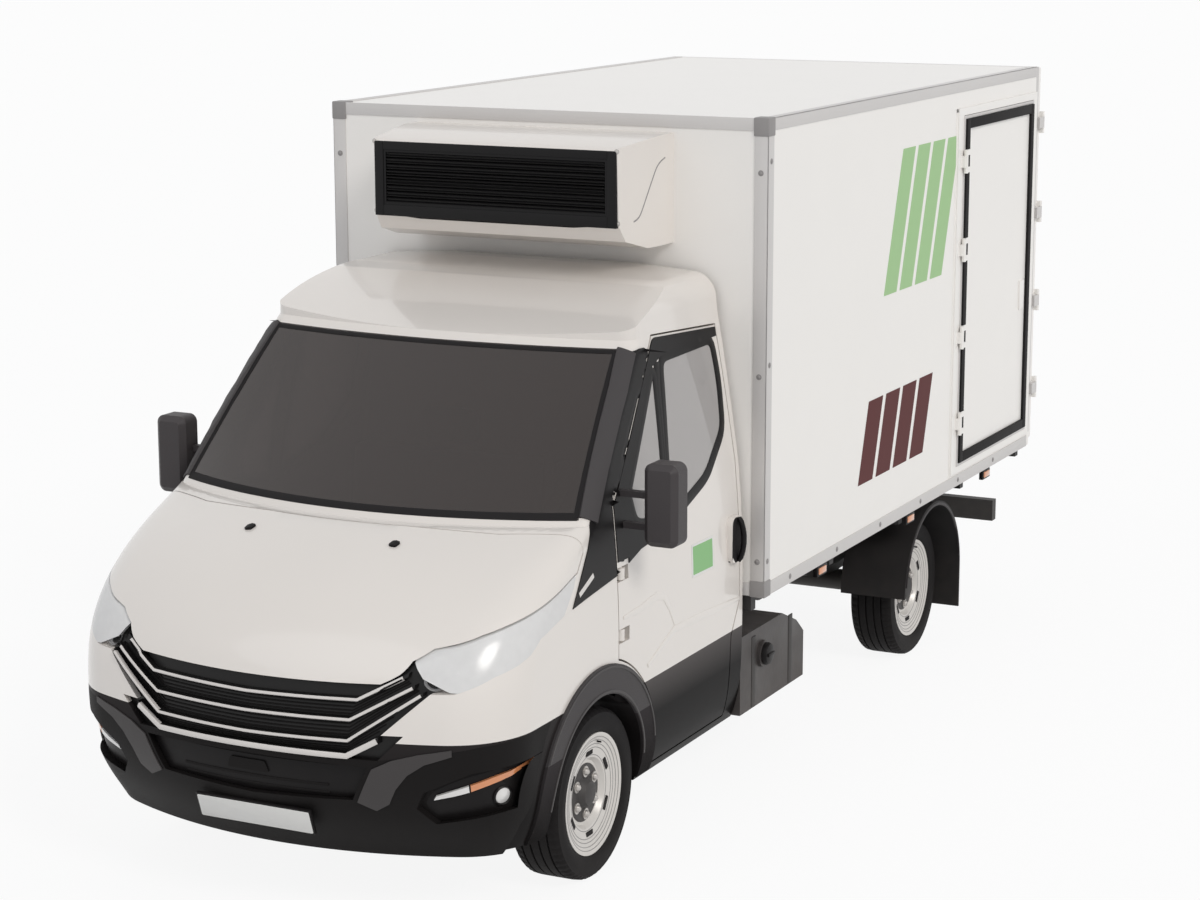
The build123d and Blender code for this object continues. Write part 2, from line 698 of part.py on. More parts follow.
def tyre():
    # Outer face at x = 0, the rest towards -x.
    w, r = TYRE_WIDTH, TYRE_RADIUS
    rim = RIM_RADIUS
    half_side = (r + rim) / 2
    points = [
        (-BEAD_INSET, rim), (0, half_side), (-TREAD_EDGE / 2, r - TREAD_EDGE), (-TREAD_EDGE * 3 / 2, r),
        (-w + TREAD_EDGE * 3 / 2, r), (-w + TREAD_EDGE / 2, r - TREAD_EDGE), (-w, half_side),
        (-w + BEAD_INSET, rim),
    ]
    return wheel_profile(points)


def rim():
    w = TYRE_WIDTH
    outer = RIM_RADIUS - SEAT_GAP
    disc = -BEAD_INSET - RIM_DISC_DEPTH
    hub = -BEAD_INSET - HUB_FACE_DEPTH
    bore = SPINDLE_RADIUS + RUN_CLEARANCE
    points = [
        (-BEAD_INSET, outer), (-BEAD_INSET, outer - RIM_WALL), (-BEAD_INSET - RIM_STEP_DEPTH, RIM_STEP_RADIUS),
        (disc, HUB_RADIUS + RIM_DISC_THICK), (hub, HUB_RADIUS), (hub, bore), (hub - HUB_THICK, bore),
        (hub - HUB_THICK, HUB_RADIUS), (disc - RIM_DISC_THICK, HUB_RADIUS + RIM_DISC_THICK),
        (-BEAD_INSET - RIM_STEP_DEPTH - RIM_DISC_THICK, RIM_STEP_RADIUS), (-w / 2, RIM_SHELL_INNER),
        (-w + BEAD_INSET, RIM_SHELL_INNER), (-w + BEAD_INSET, outer),
    ]
    wheel = wheel_profile(points)
    slot = Box(w, SLOT_LENGTH, SLOT_WIDTH)
    slot = fillet(slot.edges().filter_by(Axis.X), SLOT_WIDTH / 3)
    for i in range(SLOT_COUNT):
        wheel -= Rot(360 * i / SLOT_COUNT, 0, 0) * Pos(0, 0, SLOT_RING_RADIUS) * slot
    return wheel


def wheel_places():
    return [
        ("front_left", 1, FRONT_AXLE_Y), ("front_right", -1, FRONT_AXLE_Y),
        ("rear_left", 1, REAR_AXLE_Y), ("rear_right", -1, REAR_AXLE_Y),
    ]


def placed_wheel(shape, side, y):
    left = Pos(WHEEL_FACE_X, y, TYRE_RADIUS) * shape
    return left if side > 0 else mirrored(left)


HUB_BACK_X = WHEEL_FACE_X - BEAD_INSET - HUB_FACE_DEPTH - HUB_THICK
HUB_PLAY = 2
SPINDLE_NUT = 12


def knuckle():
    # A brake disc and spindle on an upright that turns about the kingpin.
    y, z = FRONT_AXLE_Y, TYRE_RADIUS
    back = HUB_BACK_X - HUB_PLAY
    spindle_end = WHEEL_FACE_X - BEAD_INSET - HUB_FACE_DEPTH + SPINDLE_NUT
    body = tube_x(KINGPIN_X, spindle_end, y, z, SPINDLE_RADIUS)
    body += tube_x(back - BRAKE_THICK / 2, back, y, z, BRAKE_RADIUS)
    body += tube_z(KINGPIN_X, y, z - KNUCKLE_HEIGHT / 2, z + KNUCKLE_HEIGHT / 2, KNUCKLE_RADIUS)
    body -= tube_z(KINGPIN_X, y, 0, CAB_TOP_Z, KINGPIN_RADIUS + RUN_CLEARANCE)
    return body


ARM_OUTER = 30
ARM_ROOT_Y = 150
BEAM_HEIGHT = 120
BEAM_DEPTH = 180
BEAM_HALF = 470


def front_suspension():
    # A crossbeam under the rails with upper and lower forks that hold the kingpins.
    y, z = FRONT_AXLE_Y, TYRE_RADIUS
    low_z = z - KNUCKLE_HEIGHT / 2 - SEAT_GAP - EYE_HEIGHT
    high_z = z + KNUCKLE_HEIGHT / 2 + SEAT_GAP
    beam_low = low_z
    body = block(-BEAM_HALF, BEAM_HALF, y - BEAM_DEPTH / 2, y + BEAM_DEPTH / 2, beam_low, beam_low + BEAM_HEIGHT)
    tower_x0, tower_x1 = RAIL_X - RAIL_WIDTH / 2, RAIL_X + RAIL_WIDTH / 2
    tower = block(tower_x0, tower_x1, y - BEAM_DEPTH / 2, y + BEAM_DEPTH / 2, beam_low, RAIL_BOTTOM_Z)
    arms = tower
    for z0 in (low_z, high_z):
        outline = [
            (tower_x0, y - ARM_ROOT_Y / 2), (KINGPIN_X, y - ARM_OUTER), (KINGPIN_X, y + ARM_OUTER),
            (tower_x0, y + ARM_ROOT_Y / 2),
        ]
        face = make_face(Polyline([(px, py, z0) for px, py in outline], close=True))
        arms += extrude(face, amount=EYE_HEIGHT, dir=(0, 0, 1))
        arms += tube_z(KINGPIN_X, y, z0, z0 + EYE_HEIGHT, ARM_OUTER)
    arms += tube_z(KINGPIN_X, y, low_z, high_z + EYE_HEIGHT, KINGPIN_RADIUS)
    body += arms
    body += mirrored(arms)
    return body


AXLE_RADIUS = 55
DIFF_RADIUS = 165
DIFF_WIDTH = 220
SPRING_X = 520
SPRING_WIDTH = 76
SPRING_THICK = 42
SPRING_HALF = 720
SPRING_END_Z = 585
HANGER_WIDTH = 60


def rear_axle():
    # One turned form: differential in the middle, tubes, brake discs and spindles outwards.
    back = HUB_BACK_X - HUB_PLAY
    end = WHEEL_FACE_X - BEAD_INSET - HUB_FACE_DEPTH + SPINDLE_NUT
    half = [
        (DIFF_WIDTH / 2, DIFF_RADIUS), (DIFF_WIDTH, DIFF_RADIUS / 2), (DIFF_WIDTH, AXLE_RADIUS),
        (back - BRAKE_THICK / 2, AXLE_RADIUS), (back - BRAKE_THICK / 2, BRAKE_RADIUS), (back, BRAKE_RADIUS),
        (back, SPINDLE_RADIUS), (end, SPINDLE_RADIUS), (end, 0),
    ]
    outline = half + [(-x, r) for x, r in half[::-1]]
    return Pos(0, REAR_AXLE_Y, TYRE_RADIUS) * wheel_profile(outline)


def leaf_springs():
    # Bowed packs under the axle ends, hung from brackets on the rails.
    y = REAR_AXLE_Y
    low = TYRE_RADIUS + AXLE_RADIUS
    x0 = SPRING_X - SPRING_WIDTH / 2
    x1 = SPRING_X + SPRING_WIDTH / 2
    bow = [
        (y - SPRING_HALF, SPRING_END_Z), (y, low + SEAT_GAP), (y + SPRING_HALF, SPRING_END_Z),
    ]
    lower = ThreePointArc(*[(x0, py, pz) for py, pz in bow])
    upper = ThreePointArc(*[(x0, py, pz + SPRING_THICK) for py, pz in bow])
    ends = [Line(lower @ 0, upper @ 0), Line(lower @ 1, upper @ 1)]
    spring = extrude(make_face(Wire([lower, ends[1], upper, ends[0]])), amount=SPRING_WIDTH, dir=(1, 0, 0))
    rail_face = RAIL_X + RAIL_WIDTH / 2
    for side in (-1, 1):
        end = y + side * SPRING_HALF
        spring += block(rail_face, x1, end - HANGER_WIDTH / 2, end + HANGER_WIDTH / 2, SPRING_END_Z - HANGER_WIDTH / 2,
                        RAIL_TOP_Z - HANGER_WIDTH / 2)
    return spring


SILL_WIDTH = 60
OUTRIGGER_COUNT = 5
OUTRIGGER_HEIGHT = 70
OUTRIGGER_WIDTH = 50
RAIL_REAR_GAP = 60


def cross_places():
    front = NOSE_Y + RAIL_FRONT_GAP
    rear = BOX_REAR_Y - RAIL_REAR_GAP
    return [front, CAB_REAR_Y - CROSS_WIDTH * 2, (BOX_FRONT_Y + REAR_AXLE_Y) / 2, REAR_AXLE_Y - SPRING_HALF,
            REAR_AXLE_Y + SPRING_HALF, rear - CROSS_WIDTH]


def chassis_frame():
    front = NOSE_Y + RAIL_FRONT_GAP
    rear = BOX_REAR_Y - RAIL_REAR_GAP
    frame = None
    for side in (-1, 1):
        x = side * RAIL_X
        rail = block(x - RAIL_WIDTH / 2, x + RAIL_WIDTH / 2, front, rear, RAIL_BOTTOM_Z, RAIL_TOP_Z)
        hollow_x = x - side * RAIL_WIDTH / 8
        rail -= block(hollow_x - RAIL_WIDTH / 2, hollow_x + RAIL_WIDTH / 2, front, rear,
                      RAIL_BOTTOM_Z + RAIL_WIDTH / 8, RAIL_TOP_Z - RAIL_WIDTH / 8)
        frame = rail if frame is None else frame + rail
        sill = block(x - SILL_WIDTH / 2, x + SILL_WIDTH / 2, BOX_FRONT_Y, BOX_REAR_Y, RAIL_TOP_Z, BOX_UNDER_Z)
        frame += sill
    half = RAIL_X + RAIL_WIDTH / 2
    middle = (RAIL_BOTTOM_Z + RAIL_TOP_Z) / 2
    for y in cross_places():
        frame += block(-half, half, y, y + CROSS_WIDTH, middle - CROSS_HEIGHT / 2, middle + CROSS_HEIGHT / 2)
    step = (BOX_LENGTH - OUTRIGGER_WIDTH) / (OUTRIGGER_COUNT - 1)
    for i in range(OUTRIGGER_COUNT):
        y = BOX_FRONT_Y + i * step
        frame += block(-BOX_HALF + BOX_WALL, BOX_HALF - BOX_WALL, y, y + OUTRIGGER_WIDTH,
                       BOX_UNDER_Z - OUTRIGGER_HEIGHT, BOX_UNDER_Z)
    return frame


ENGINE_HALF = 250
ENGINE_BOTTOM_Z = 430
ENGINE_TOP_Z = 1120
ENGINE_FRONT_GAP = 450
GEARBOX_HALF = 170
GEARBOX_TOP_Z = 660
GEARBOX_LENGTH = 620
SHAFT_RADIUS = 40
SHAFT_Z = 500
ENGINE_MOUNT = 60


def engine_block():
    fire = FRONT_AXLE_Y - FIREWALL_BACK - FIREWALL_THICK
    front = NOSE_Y + ENGINE_FRONT_GAP
    body = block(-ENGINE_HALF, ENGINE_HALF, front, fire - ENGINE_MOUNT, ENGINE_BOTTOM_Z, ENGINE_TOP_Z)
    body += block(-GEARBOX_HALF, GEARBOX_HALF, front, fire + GEARBOX_LENGTH, ENGINE_BOTTOM_Z, GEARBOX_TOP_Z)
    inner = RAIL_X - RAIL_WIDTH / 2 + RAIL_WIDTH * 3 / 4
    body += block(-inner, inner, front + ENGINE_MOUNT, front + 2 * ENGINE_MOUNT,
                  RAIL_TOP_Z, RAIL_TOP_Z + ENGINE_MOUNT)
    return body


def propeller_shaft():
    gearbox_y = FRONT_AXLE_Y - FIREWALL_BACK - FIREWALL_THICK + GEARBOX_LENGTH
    end_y = REAR_AXLE_Y - DIFF_RADIUS
    drop = SHAFT_Z - TYRE_RADIUS
    slope = drop / (end_y - gearbox_y)
    start_y = gearbox_y + SHAFT_RADIUS * slope + SEAT_GAP
    end_y -= 2 * SEAT_GAP
    run = end_y - start_y
    length = math.hypot(run, drop)
    tilt = math.degrees(math.atan2(drop, run))
    middle = Pos(0, (start_y + end_y) / 2, (SHAFT_Z + TYRE_RADIUS) / 2)
    return middle * Rot(90 - tilt, 0, 0) * Cylinder(SHAFT_RADIUS, length)


# Cabin fittings
DASH_SHARES = [
    # The dashboard's side outline (y, z).
    (0.39, 0.44), (0.39, 0.6), (0.46, 0.6), (0.52, 0.56), (0.53, 0.52), (0.49, 0.46),
]
DASH_HALF_SHARE = 0.84
WHEEL_CENTRE_SHARES = (0.47, 0.585, 0.525)
STEER_RADIUS = 205
STEER_RIM = 15
STEER_TILT = 35
COLUMN_RADIUS = 30
COLUMN_LENGTH = 420
SEAT_SHARES = [
    # A seat's side outline (y, z): cushion and back.
    (0.68, 0.345), (0.68, 0.435), (0.7, 0.45), (0.845, 0.445), (0.905, 0.71), (0.93, 0.71), (0.92, 0.345),
]
SEAT_SPANS = [
    # Left and right edges of the driver's seat and of the double seat, as shares of CAB_HALF.
    (0.2, 0.82), (-0.82, 0.16),
]
SEAT_BASE_SHARE = 0.345


def dash_outline():
    fire_y = FRONT_AXLE_Y - FIREWALL_BACK
    return [(max(y, fire_y), z) for y, z in in_side(DASH_SHARES)]


def dashboard():
    half = across(DASH_HALF_SHARE)
    return side_prism(dash_outline(), -half, half)


def steering_wheel():
    x_share, y_share, z_share = WHEEL_CENTRE_SHARES
    ring = Torus(STEER_RADIUS, STEER_RIM)
    ring += Box(2 * STEER_RADIUS, 3 * STEER_RIM, STEER_RIM)
    ring += Pos(0, STEER_RADIUS / 2, 0) * Box(3 * STEER_RIM, STEER_RADIUS, STEER_RIM)
    ring += Cylinder(3 * STEER_RIM, 2 * STEER_RIM)
    ring += Pos(0, 0, -COLUMN_LENGTH / 2) * Cylinder(COLUMN_RADIUS, COLUMN_LENGTH)
    place = Pos(across(x_share), along(y_share), up(z_share)) * Rot(STEER_TILT - 90, 0, 0)
    wheel = place * Rot(180, 0, 0) * ring
    wheel -= side_prism(dash_outline(), 0, CAB_HALF)
    return largest(wheel)


def seats():
    solids = []
    for left, right in SEAT_SPANS:
        seat = side_prism(in_side(SEAT_SHARES), across(min(left, right)), across(max(left, right)))
        solids += solids_of(seat)
    return Compound(children=solids)


def seat_bases():
    y0, y1 = along(SEAT_SHARES[0][0]), along(SEAT_SHARES[-1][0])
    solids = []
    for left, right in SEAT_SPANS:
        box = block(across(min(left, right)), across(max(left, right)), y0, y1, FLOOR_Z, up(SEAT_BASE_SHARE))
        solids += solids_of(box)
    return Compound(children=solids)


# Insulated box body
SIDE_DOOR_REAR_GAP = 70
SIDE_DOOR_WIDTH = 1150
SIDE_DOOR_SILL = 40
SIDE_DOOR_HEIGHT = 1840
SIDE_FRAME_WIDTH = 90
SIDE_FRAME_PROUD = 10
SIDE_DOOR_Y1 = BOX_REAR_Y - FRAME_DEPTH - SIDE_DOOR_REAR_GAP
SIDE_DOOR_Y0 = SIDE_DOOR_Y1 - SIDE_DOOR_WIDTH
SIDE_DOOR_Z0 = BOX_UNDER_Z + BOX_FLOOR_THICK + SIDE_DOOR_SILL
SIDE_DOOR_Z1 = SIDE_DOOR_Z0 + SIDE_DOOR_HEIGHT
BOX_IN_HALF = BOX_HALF - BOX_WALL
BOX_IN_Z0 = BOX_UNDER_Z + BOX_FLOOR_THICK
BOX_IN_Z1 = BOX_TOP_Z - BOX_WALL
SIDE_HINGE_OUT = 18
SIDE_HINGE_Y = SIDE_DOOR_Y0 - 3 * SHUT_GAP
BOX_HINGE_PIN = 6
BOX_HINGE_BARREL = 11
BOX_HINGE_LENGTH = 120
BOX_HINGE_COUNT = 4


def box_wall_right():
    return block(-BOX_HALF, -BOX_IN_HALF, BOX_FRONT_Y, BOX_REAR_Y - FRAME_DEPTH, BOX_IN_Z0, BOX_IN_Z1)


def box_wall_left():
    wall = block(BOX_IN_HALF, BOX_HALF, BOX_FRONT_Y, BOX_REAR_Y - FRAME_DEPTH, BOX_IN_Z0, BOX_IN_Z1)
    rear = min(SIDE_DOOR_Y1 + SIDE_FRAME_WIDTH, BOX_REAR_Y - FRAME_DEPTH)
    wall += block(BOX_HALF, BOX_HALF + SIDE_FRAME_PROUD, SIDE_DOOR_Y0 - SIDE_FRAME_WIDTH, rear,
                  SIDE_DOOR_Z0 - SIDE_DOOR_SILL, SIDE_DOOR_Z1 + SIDE_FRAME_WIDTH / 2)
    wall -= block(BOX_IN_HALF - OVERRUN, BOX_HALF + OVERRUN, SIDE_DOOR_Y0 - SHUT_GAP, SIDE_DOOR_Y1 + SHUT_GAP,
                  SIDE_DOOR_Z0 - SHUT_GAP, SIDE_DOOR_Z1 + SHUT_GAP)
    x = BOX_HALF + SIDE_FRAME_PROUD + SIDE_HINGE_OUT
    for z in hinge_rows(SIDE_DOOR_Z0, SIDE_DOOR_Z1):
        wall += fixed_barrel(x, SIDE_HINGE_Y, z, BOX_HALF, -1)
    return wall


def hinge_rows(low, high):
    step = (high - low) / BOX_HINGE_COUNT
    return [low + step * (i + 1 / 2) for i in range(BOX_HINGE_COUNT)]


def fixed_barrel(x, y, z, face_x, side):
    # The frame's half of a hinge: a bored barrel on a leaf.
    half = BOX_HINGE_LENGTH / 4
    leaf_y = y + side * 2 * BOX_HINGE_BARREL
    y0, y1 = sorted((y, leaf_y))
    piece = block(face_x, x, y0, y1, z - half, z + half)
    piece += tube_z(x, y, z - half, z + half, BOX_HINGE_BARREL)
    piece -= tube_z(x, y, z - 2 * half, z + 2 * half, BOX_HINGE_PIN + RUN_CLEARANCE)
    return piece


def side_door():
    face = BOX_HALF + SIDE_FRAME_PROUD
    door = block(BOX_IN_HALF + SHUT_GAP, face, SIDE_DOOR_Y0, SIDE_DOOR_Y1, SIDE_DOOR_Z0, SIDE_DOOR_Z1)
    x = face + SIDE_HINGE_OUT
    y = SIDE_HINGE_Y
    for z in hinge_rows(SIDE_DOOR_Z0, SIDE_DOOR_Z1):
        half = BOX_HINGE_LENGTH / 4
        for sign in (-1, 1):
            z0, z1 = sorted((z + sign * (half + SEAT_GAP), z + sign * 2 * half))
            door += tube_z(x, y, z0, z1, BOX_HINGE_BARREL)
            door += block(face + SHUT_GAP, x, y, SIDE_DOOR_Y0 + BOX_HINGE_LENGTH / 2, z0, z1)
            door += block(face, x, SIDE_DOOR_Y0, SIDE_DOOR_Y0 + BOX_HINGE_LENGTH / 2, z0, z1)
        door += tube_z(x, y, z - 2 * half, z + 2 * half, BOX_HINGE_PIN)
    return door


def rear_frame():
    y0, y1 = BOX_REAR_Y - FRAME_DEPTH, BOX_REAR_Y
    frame = block(-BOX_HALF, BOX_HALF, y0, y1, BOX_IN_Z0, BOX_TOP_Z - BOX_WALL)
    frame -= block(-BOX_IN_HALF, BOX_IN_HALF, y0 - OVERRUN, y1 + OVERRUN, BOX_IN_Z0 - OVERRUN, BOX_TOP_Z)
    header = block(-BOX_HALF, BOX_HALF, y0, y1, BOX_IN_Z1, BOX_TOP_Z)
    frame += header
    for side in (-1, 1):
        for z in hinge_rows(BOX_IN_Z0, BOX_IN_Z1):
            half = BOX_HINGE_LENGTH / 4
            x0, x1 = sorted((side * BOX_HALF, side * (BOX_HALF + REAR_HINGE_OUT)))
            frame += block(x0, x1, y1 - FRAME_DEPTH / 2, REAR_HINGE_Y, z - half, z + half)
            frame += tube_z(side * REAR_HINGE_X, REAR_HINGE_Y, z - half, z + half, BOX_HINGE_BARREL)
            frame -= tube_z(side * REAR_HINGE_X, REAR_HINGE_Y, z - 2 * half, z + 2 * half,
                            BOX_HINGE_PIN + RUN_CLEARANCE)
    return frame


REAR_HINGE_OUT = 20
REAR_HINGE_X = BOX_HALF + REAR_HINGE_OUT - BOX_HINGE_BARREL
REAR_HINGE_Y = BOX_REAR_Y + REAR_DOOR_THICK + BOX_HINGE_BARREL
DOOR_SET = 0.3
BAR_RADIUS = 12
BAR_INSET = 180


def rear_door():
    y0 = BOX_REAR_Y + DOOR_SET
    y1 = BOX_REAR_Y + REAR_DOOR_THICK
    x1 = BOX_HALF - SHUT_GAP
    door = block(SHUT_GAP / 2, x1, y0, y1, BOX_UNDER_Z + BOX_FLOOR_THICK / 2, BOX_TOP_Z - SHUT_GAP)
    for z in hinge_rows(BOX_IN_Z0, BOX_IN_Z1):
        half = BOX_HINGE_LENGTH / 4
        for sign in (-1, 1):
            z0, z1 = sorted((z + sign * (half + SEAT_GAP), z + sign * 2 * half))
            door += tube_z(REAR_HINGE_X, REAR_HINGE_Y, z0, z1, BOX_HINGE_BARREL)
            door += block(x1 - BOX_HINGE_LENGTH, REAR_HINGE_X, y1, y1 + BOX_HINGE_BARREL, z0, z1)
        door += tube_z(REAR_HINGE_X, REAR_HINGE_Y, z - 2 * half, z + 2 * half, BOX_HINGE_PIN)
    return door


def lock_bar(side):
    # The locking bar stands on the door's outer face, with its handle folded flat.
    y = BOX_REAR_Y + REAR_DOOR_THICK + BAR_RADIUS
    bar = tube_z(BAR_INSET, y, BOX_IN_Z0, BOX_IN_Z1, BAR_RADIUS)
    return bar if side > 0 else mirrored(bar)


DECK_THICK = 10
DECK_GAP = 5


def box_floor():
    # The insulated floor, with a raised deck between the walls.
    floor = block(-BOX_HALF, BOX_HALF, BOX_FRONT_Y, BOX_REAR_Y, BOX_UNDER_Z, BOX_IN_Z0)
    half = BOX_IN_HALF - DECK_GAP
    y0 = BOX_FRONT_Y + BOX_WALL + DECK_GAP
    y1 = BOX_REAR_Y - FRAME_DEPTH - DECK_GAP
    return floor + block(-half, half, y0, y1, BOX_IN_Z0, BOX_IN_Z0 + DECK_THICK)


def box_roof():
    return block(-BOX_HALF, BOX_HALF, BOX_FRONT_Y, BOX_REAR_Y - FRAME_DEPTH, BOX_IN_Z1, BOX_TOP_Z)


def box_front_wall():
    return block(-BOX_IN_HALF, BOX_IN_HALF, BOX_FRONT_Y, BOX_FRONT_Y + BOX_WALL, BOX_IN_Z0, BOX_IN_Z1)


CONDENSER_SHARES = [
    # The cooling unit's side outline (y, z).
    (0.9179, 1.0367), (0.8479, 1.0559), (0.8254, 1.0874), (0.8218, 1.2239), (0.8311, 1.2303),
    (0.9638, 1.2439),
]
CONDENSER_BACK_HALF = 650
CONDENSER_FRONT_HALF = 603
CONDENSER_GRILLE = [(-560, 2585), (560, 2840)]
CONDENSER_RECESS = 40
LOUVRE_COUNT = 9
LOUVRE_THICK = 8
LOUVRE_RIM = 16


def condenser_openings():
    (x0, z0), (x1, z1) = CONDENSER_GRILLE
    front = along(CONDENSER_SHARES[3][0])
    return x0, x1, z0, z1, front


def condenser_housing():
    points = in_side(CONDENSER_SHARES)
    low, high = points[0][1], points[-1][1]
    outline = [(BOX_FRONT_Y, low)] + points + [(BOX_FRONT_Y, high)]
    body = side_prism(outline, -CONDENSER_BACK_HALF, CONDENSER_BACK_HALF)
    front = along(CONDENSER_SHARES[3][0])
    plan = [
        (-CONDENSER_FRONT_HALF, front), (CONDENSER_FRONT_HALF, front), (CONDENSER_BACK_HALF, points[-1][0]),
        (CONDENSER_BACK_HALF, BOX_FRONT_Y), (-CONDENSER_BACK_HALF, BOX_FRONT_Y),
        (-CONDENSER_BACK_HALF, points[-1][0]),
    ]
    face = make_face(Polyline([(x, y, low) for x, y in plan], close=True))
    body &= extrude(face, amount=high - low, dir=(0, 0, 1))
    x0, x1, z0, z1, front = condenser_openings()
    body -= block(x0, x1, front - OVERRUN, front + CONDENSER_RECESS * 2, z0, z1)
    return body


def condenser_grille():
    x0, x1, z0, z1, front = condenser_openings()
    x0, x1, z0, z1 = x0 + SEAT_GAP, x1 - SEAT_GAP, z0 + SEAT_GAP, z1 - SEAT_GAP
    back = front + CONDENSER_RECESS * 2 - SEAT_GAP
    body = block(x0, x1, front, back, z0, z1)
    body -= block(x0 + LOUVRE_RIM, x1 - LOUVRE_RIM, front - OVERRUN, front + CONDENSER_RECESS,
                  z0 + LOUVRE_RIM, z1 - LOUVRE_RIM)
    pitch = (z1 - z0 - 2 * LOUVRE_RIM) / LOUVRE_COUNT
    for i in range(LOUVRE_COUNT):
        z = z0 + LOUVRE_RIM + (i + 1 / 2) * pitch
        body += block(x0, x1, front + LOUVRE_THICK, front + CONDENSER_RECESS, z - LOUVRE_THICK / 2,
                      z + LOUVRE_THICK / 2)
    return body


TANK_INNER_X = 480
TANK_OUTER_X = 1000
TANK_LENGTH = 750
TANK_SHARES = [
    # The tank's side outline as shares of its length and height.
    (0, 0), (1, 0), (1, 0.6), (0.88, 0.8), (0.65, 1), (0, 1),
]
TANK_BOTTOM_Z = 295
TANK_HEIGHT = 365
TANK_STRAP = 50
CAP_RADIUS = 62
CAP_LENGTH = 16
CAP_SHARES = (0.33, 0.64)


def fuel_tank():
    y0 = CAB_REAR_Y + SHUT_GAP
    outline = [(y0 + y * TANK_LENGTH, TANK_BOTTOM_Z + z * TANK_HEIGHT) for y, z in TANK_SHARES]
    tank = side_prism(outline, TANK_INNER_X, TANK_OUTER_X)
    cap_y = y0 + CAP_SHARES[0] * TANK_LENGTH
    cap_z = TANK_BOTTOM_Z + CAP_SHARES[1] * TANK_HEIGHT
    tank += tube_x(TANK_OUTER_X, TANK_OUTER_X + CAP_LENGTH, cap_y, cap_z, CAP_RADIUS)
    rail_face = RAIL_X + RAIL_WIDTH / 2
    for share in (1 / 4, 3 / 4):
        y = y0 + share * TANK_LENGTH
        tank += block(rail_face, TANK_INNER_X, y - TANK_STRAP / 2, y + TANK_STRAP / 2, RAIL_BOTTOM_Z,
                      RAIL_BOTTOM_Z + TANK_STRAP)
    return tank


GUARD_RADIUS = 415
GUARD_THICK = 12
GUARD_INNER_X = 740
GUARD_OUTER_X = 1090
GUARD_Z = 400
FLAP_BOTTOM_Z = 168


def mudguards():
    y = REAR_AXLE_Y
    arc = tube_x(GUARD_INNER_X, GUARD_OUTER_X, y, GUARD_Z, GUARD_RADIUS + GUARD_THICK)
    arc -= tube_x(GUARD_INNER_X - OVERRUN, GUARD_OUTER_X + OVERRUN, y, GUARD_Z, GUARD_RADIUS)
    arc &= block(0, BOX_HALF, y - 2 * GUARD_RADIUS, y + 2 * GUARD_RADIUS, GUARD_Z, BOX_UNDER_Z)
    arc += block(GUARD_INNER_X, GUARD_OUTER_X, y + GUARD_RADIUS, y + GUARD_RADIUS + GUARD_THICK,
                 FLAP_BOTTOM_Z, GUARD_Z)
    stay_y = y - GUARD_THICK
    arc += block(GUARD_OUTER_X - GUARD_THICK * 4, GUARD_OUTER_X - GUARD_THICK, stay_y, stay_y + 2 * GUARD_THICK,
                 GUARD_Z + GUARD_RADIUS, BOX_UNDER_Z)
    return pair(arc)


UNDERRUN_HALF = 919
UNDERRUN_Z = 400
UNDERRUN_HEIGHT = 120
UNDERRUN_DEPTH = 60
STAY_WIDTH = 50


def underrun_bar():
    y1 = BOX_REAR_Y
    y0 = y1 - UNDERRUN_DEPTH
    bar = block(-UNDERRUN_HALF, UNDERRUN_HALF, y0, y1, UNDERRUN_Z, UNDERRUN_Z + UNDERRUN_HEIGHT)
    for side in (-1, 1):
        x = side * RAIL_X
        bar += block(x - STAY_WIDTH / 2, x + STAY_WIDTH / 2, y0, y1, UNDERRUN_Z, RAIL_TOP_Z)
    return bar


REAR_LAMP_OUTER_X = 900
REAR_LAMP_LENGTH = 260
REAR_LAMP_HEIGHT = 90
REAR_LAMP_DEPTH = 35


def tail_lamps():
    # One lamp each side, flat on the rear face of the underrun bar.
    y0 = BOX_REAR_Y + SEAT_GAP
    z0 = UNDERRUN_Z + (UNDERRUN_HEIGHT - REAR_LAMP_HEIGHT) / 2
    x0 = REAR_LAMP_OUTER_X - REAR_LAMP_LENGTH
    return pair(block(x0, REAR_LAMP_OUTER_X, y0, y0 + REAR_LAMP_DEPTH, z0, z0 + REAR_LAMP_HEIGHT))


EXHAUST_RADIUS = 32
SILENCER_RADIUS = 95
SILENCER_LENGTH = 560
HANGER_THICK = 8
EXHAUST_X = 250
EXHAUST_Z = 470


def exhaust():
    y0 = FRONT_AXLE_Y
    y1 = REAR_AXLE_Y - 2 * DIFF_RADIUS
    middle = (y0 + y1) / 2
    turn = Rot(90, 0, 0)
    pipe = Pos(-EXHAUST_X, middle, EXHAUST_Z) * turn * Cylinder(EXHAUST_RADIUS, y1 - y0)
    box = Pos(-EXHAUST_X, middle + SILENCER_LENGTH, EXHAUST_Z) * turn * Cylinder(SILENCER_RADIUS, SILENCER_LENGTH)
    system = pipe + box
    low = (RAIL_BOTTOM_Z + RAIL_TOP_Z - CROSS_HEIGHT) / 2
    for y in cross_places()[1:3]:
        system += block(-EXHAUST_X - HANGER_THICK, -EXHAUST_X + HANGER_THICK, y, y + CROSS_WIDTH / 2, EXHAUST_Z, low)
    return system


RADIATOR_HALF = 330
RADIATOR_THICK = 60
RADIATOR_BACK = 330
RADIATOR_TOP_Z = 960
BUFFER_X = 280
BUFFER_RADIUS = 16


def radiator(bonnet):
    # The radiator stands on the rails' front crossmember and carries the bonnet's two rest buffers.
    y1 = NOSE_Y + RADIATOR_BACK
    y0 = y1 - RADIATOR_THICK
    core = block(-RADIATOR_HALF, RADIATOR_HALF, y0, y1, RAIL_BOTTOM_Z, RADIATOR_TOP_Z)
    for side in (-1, 1):
        core += tube_z(side * BUFFER_X, (y0 + y1) / 2, RADIATOR_TOP_Z, CAB_TOP_Z / 2, BUFFER_RADIUS)
    core -= Pos(0, 0, -SEAT_GAP) * bonnet
    return largest(core)


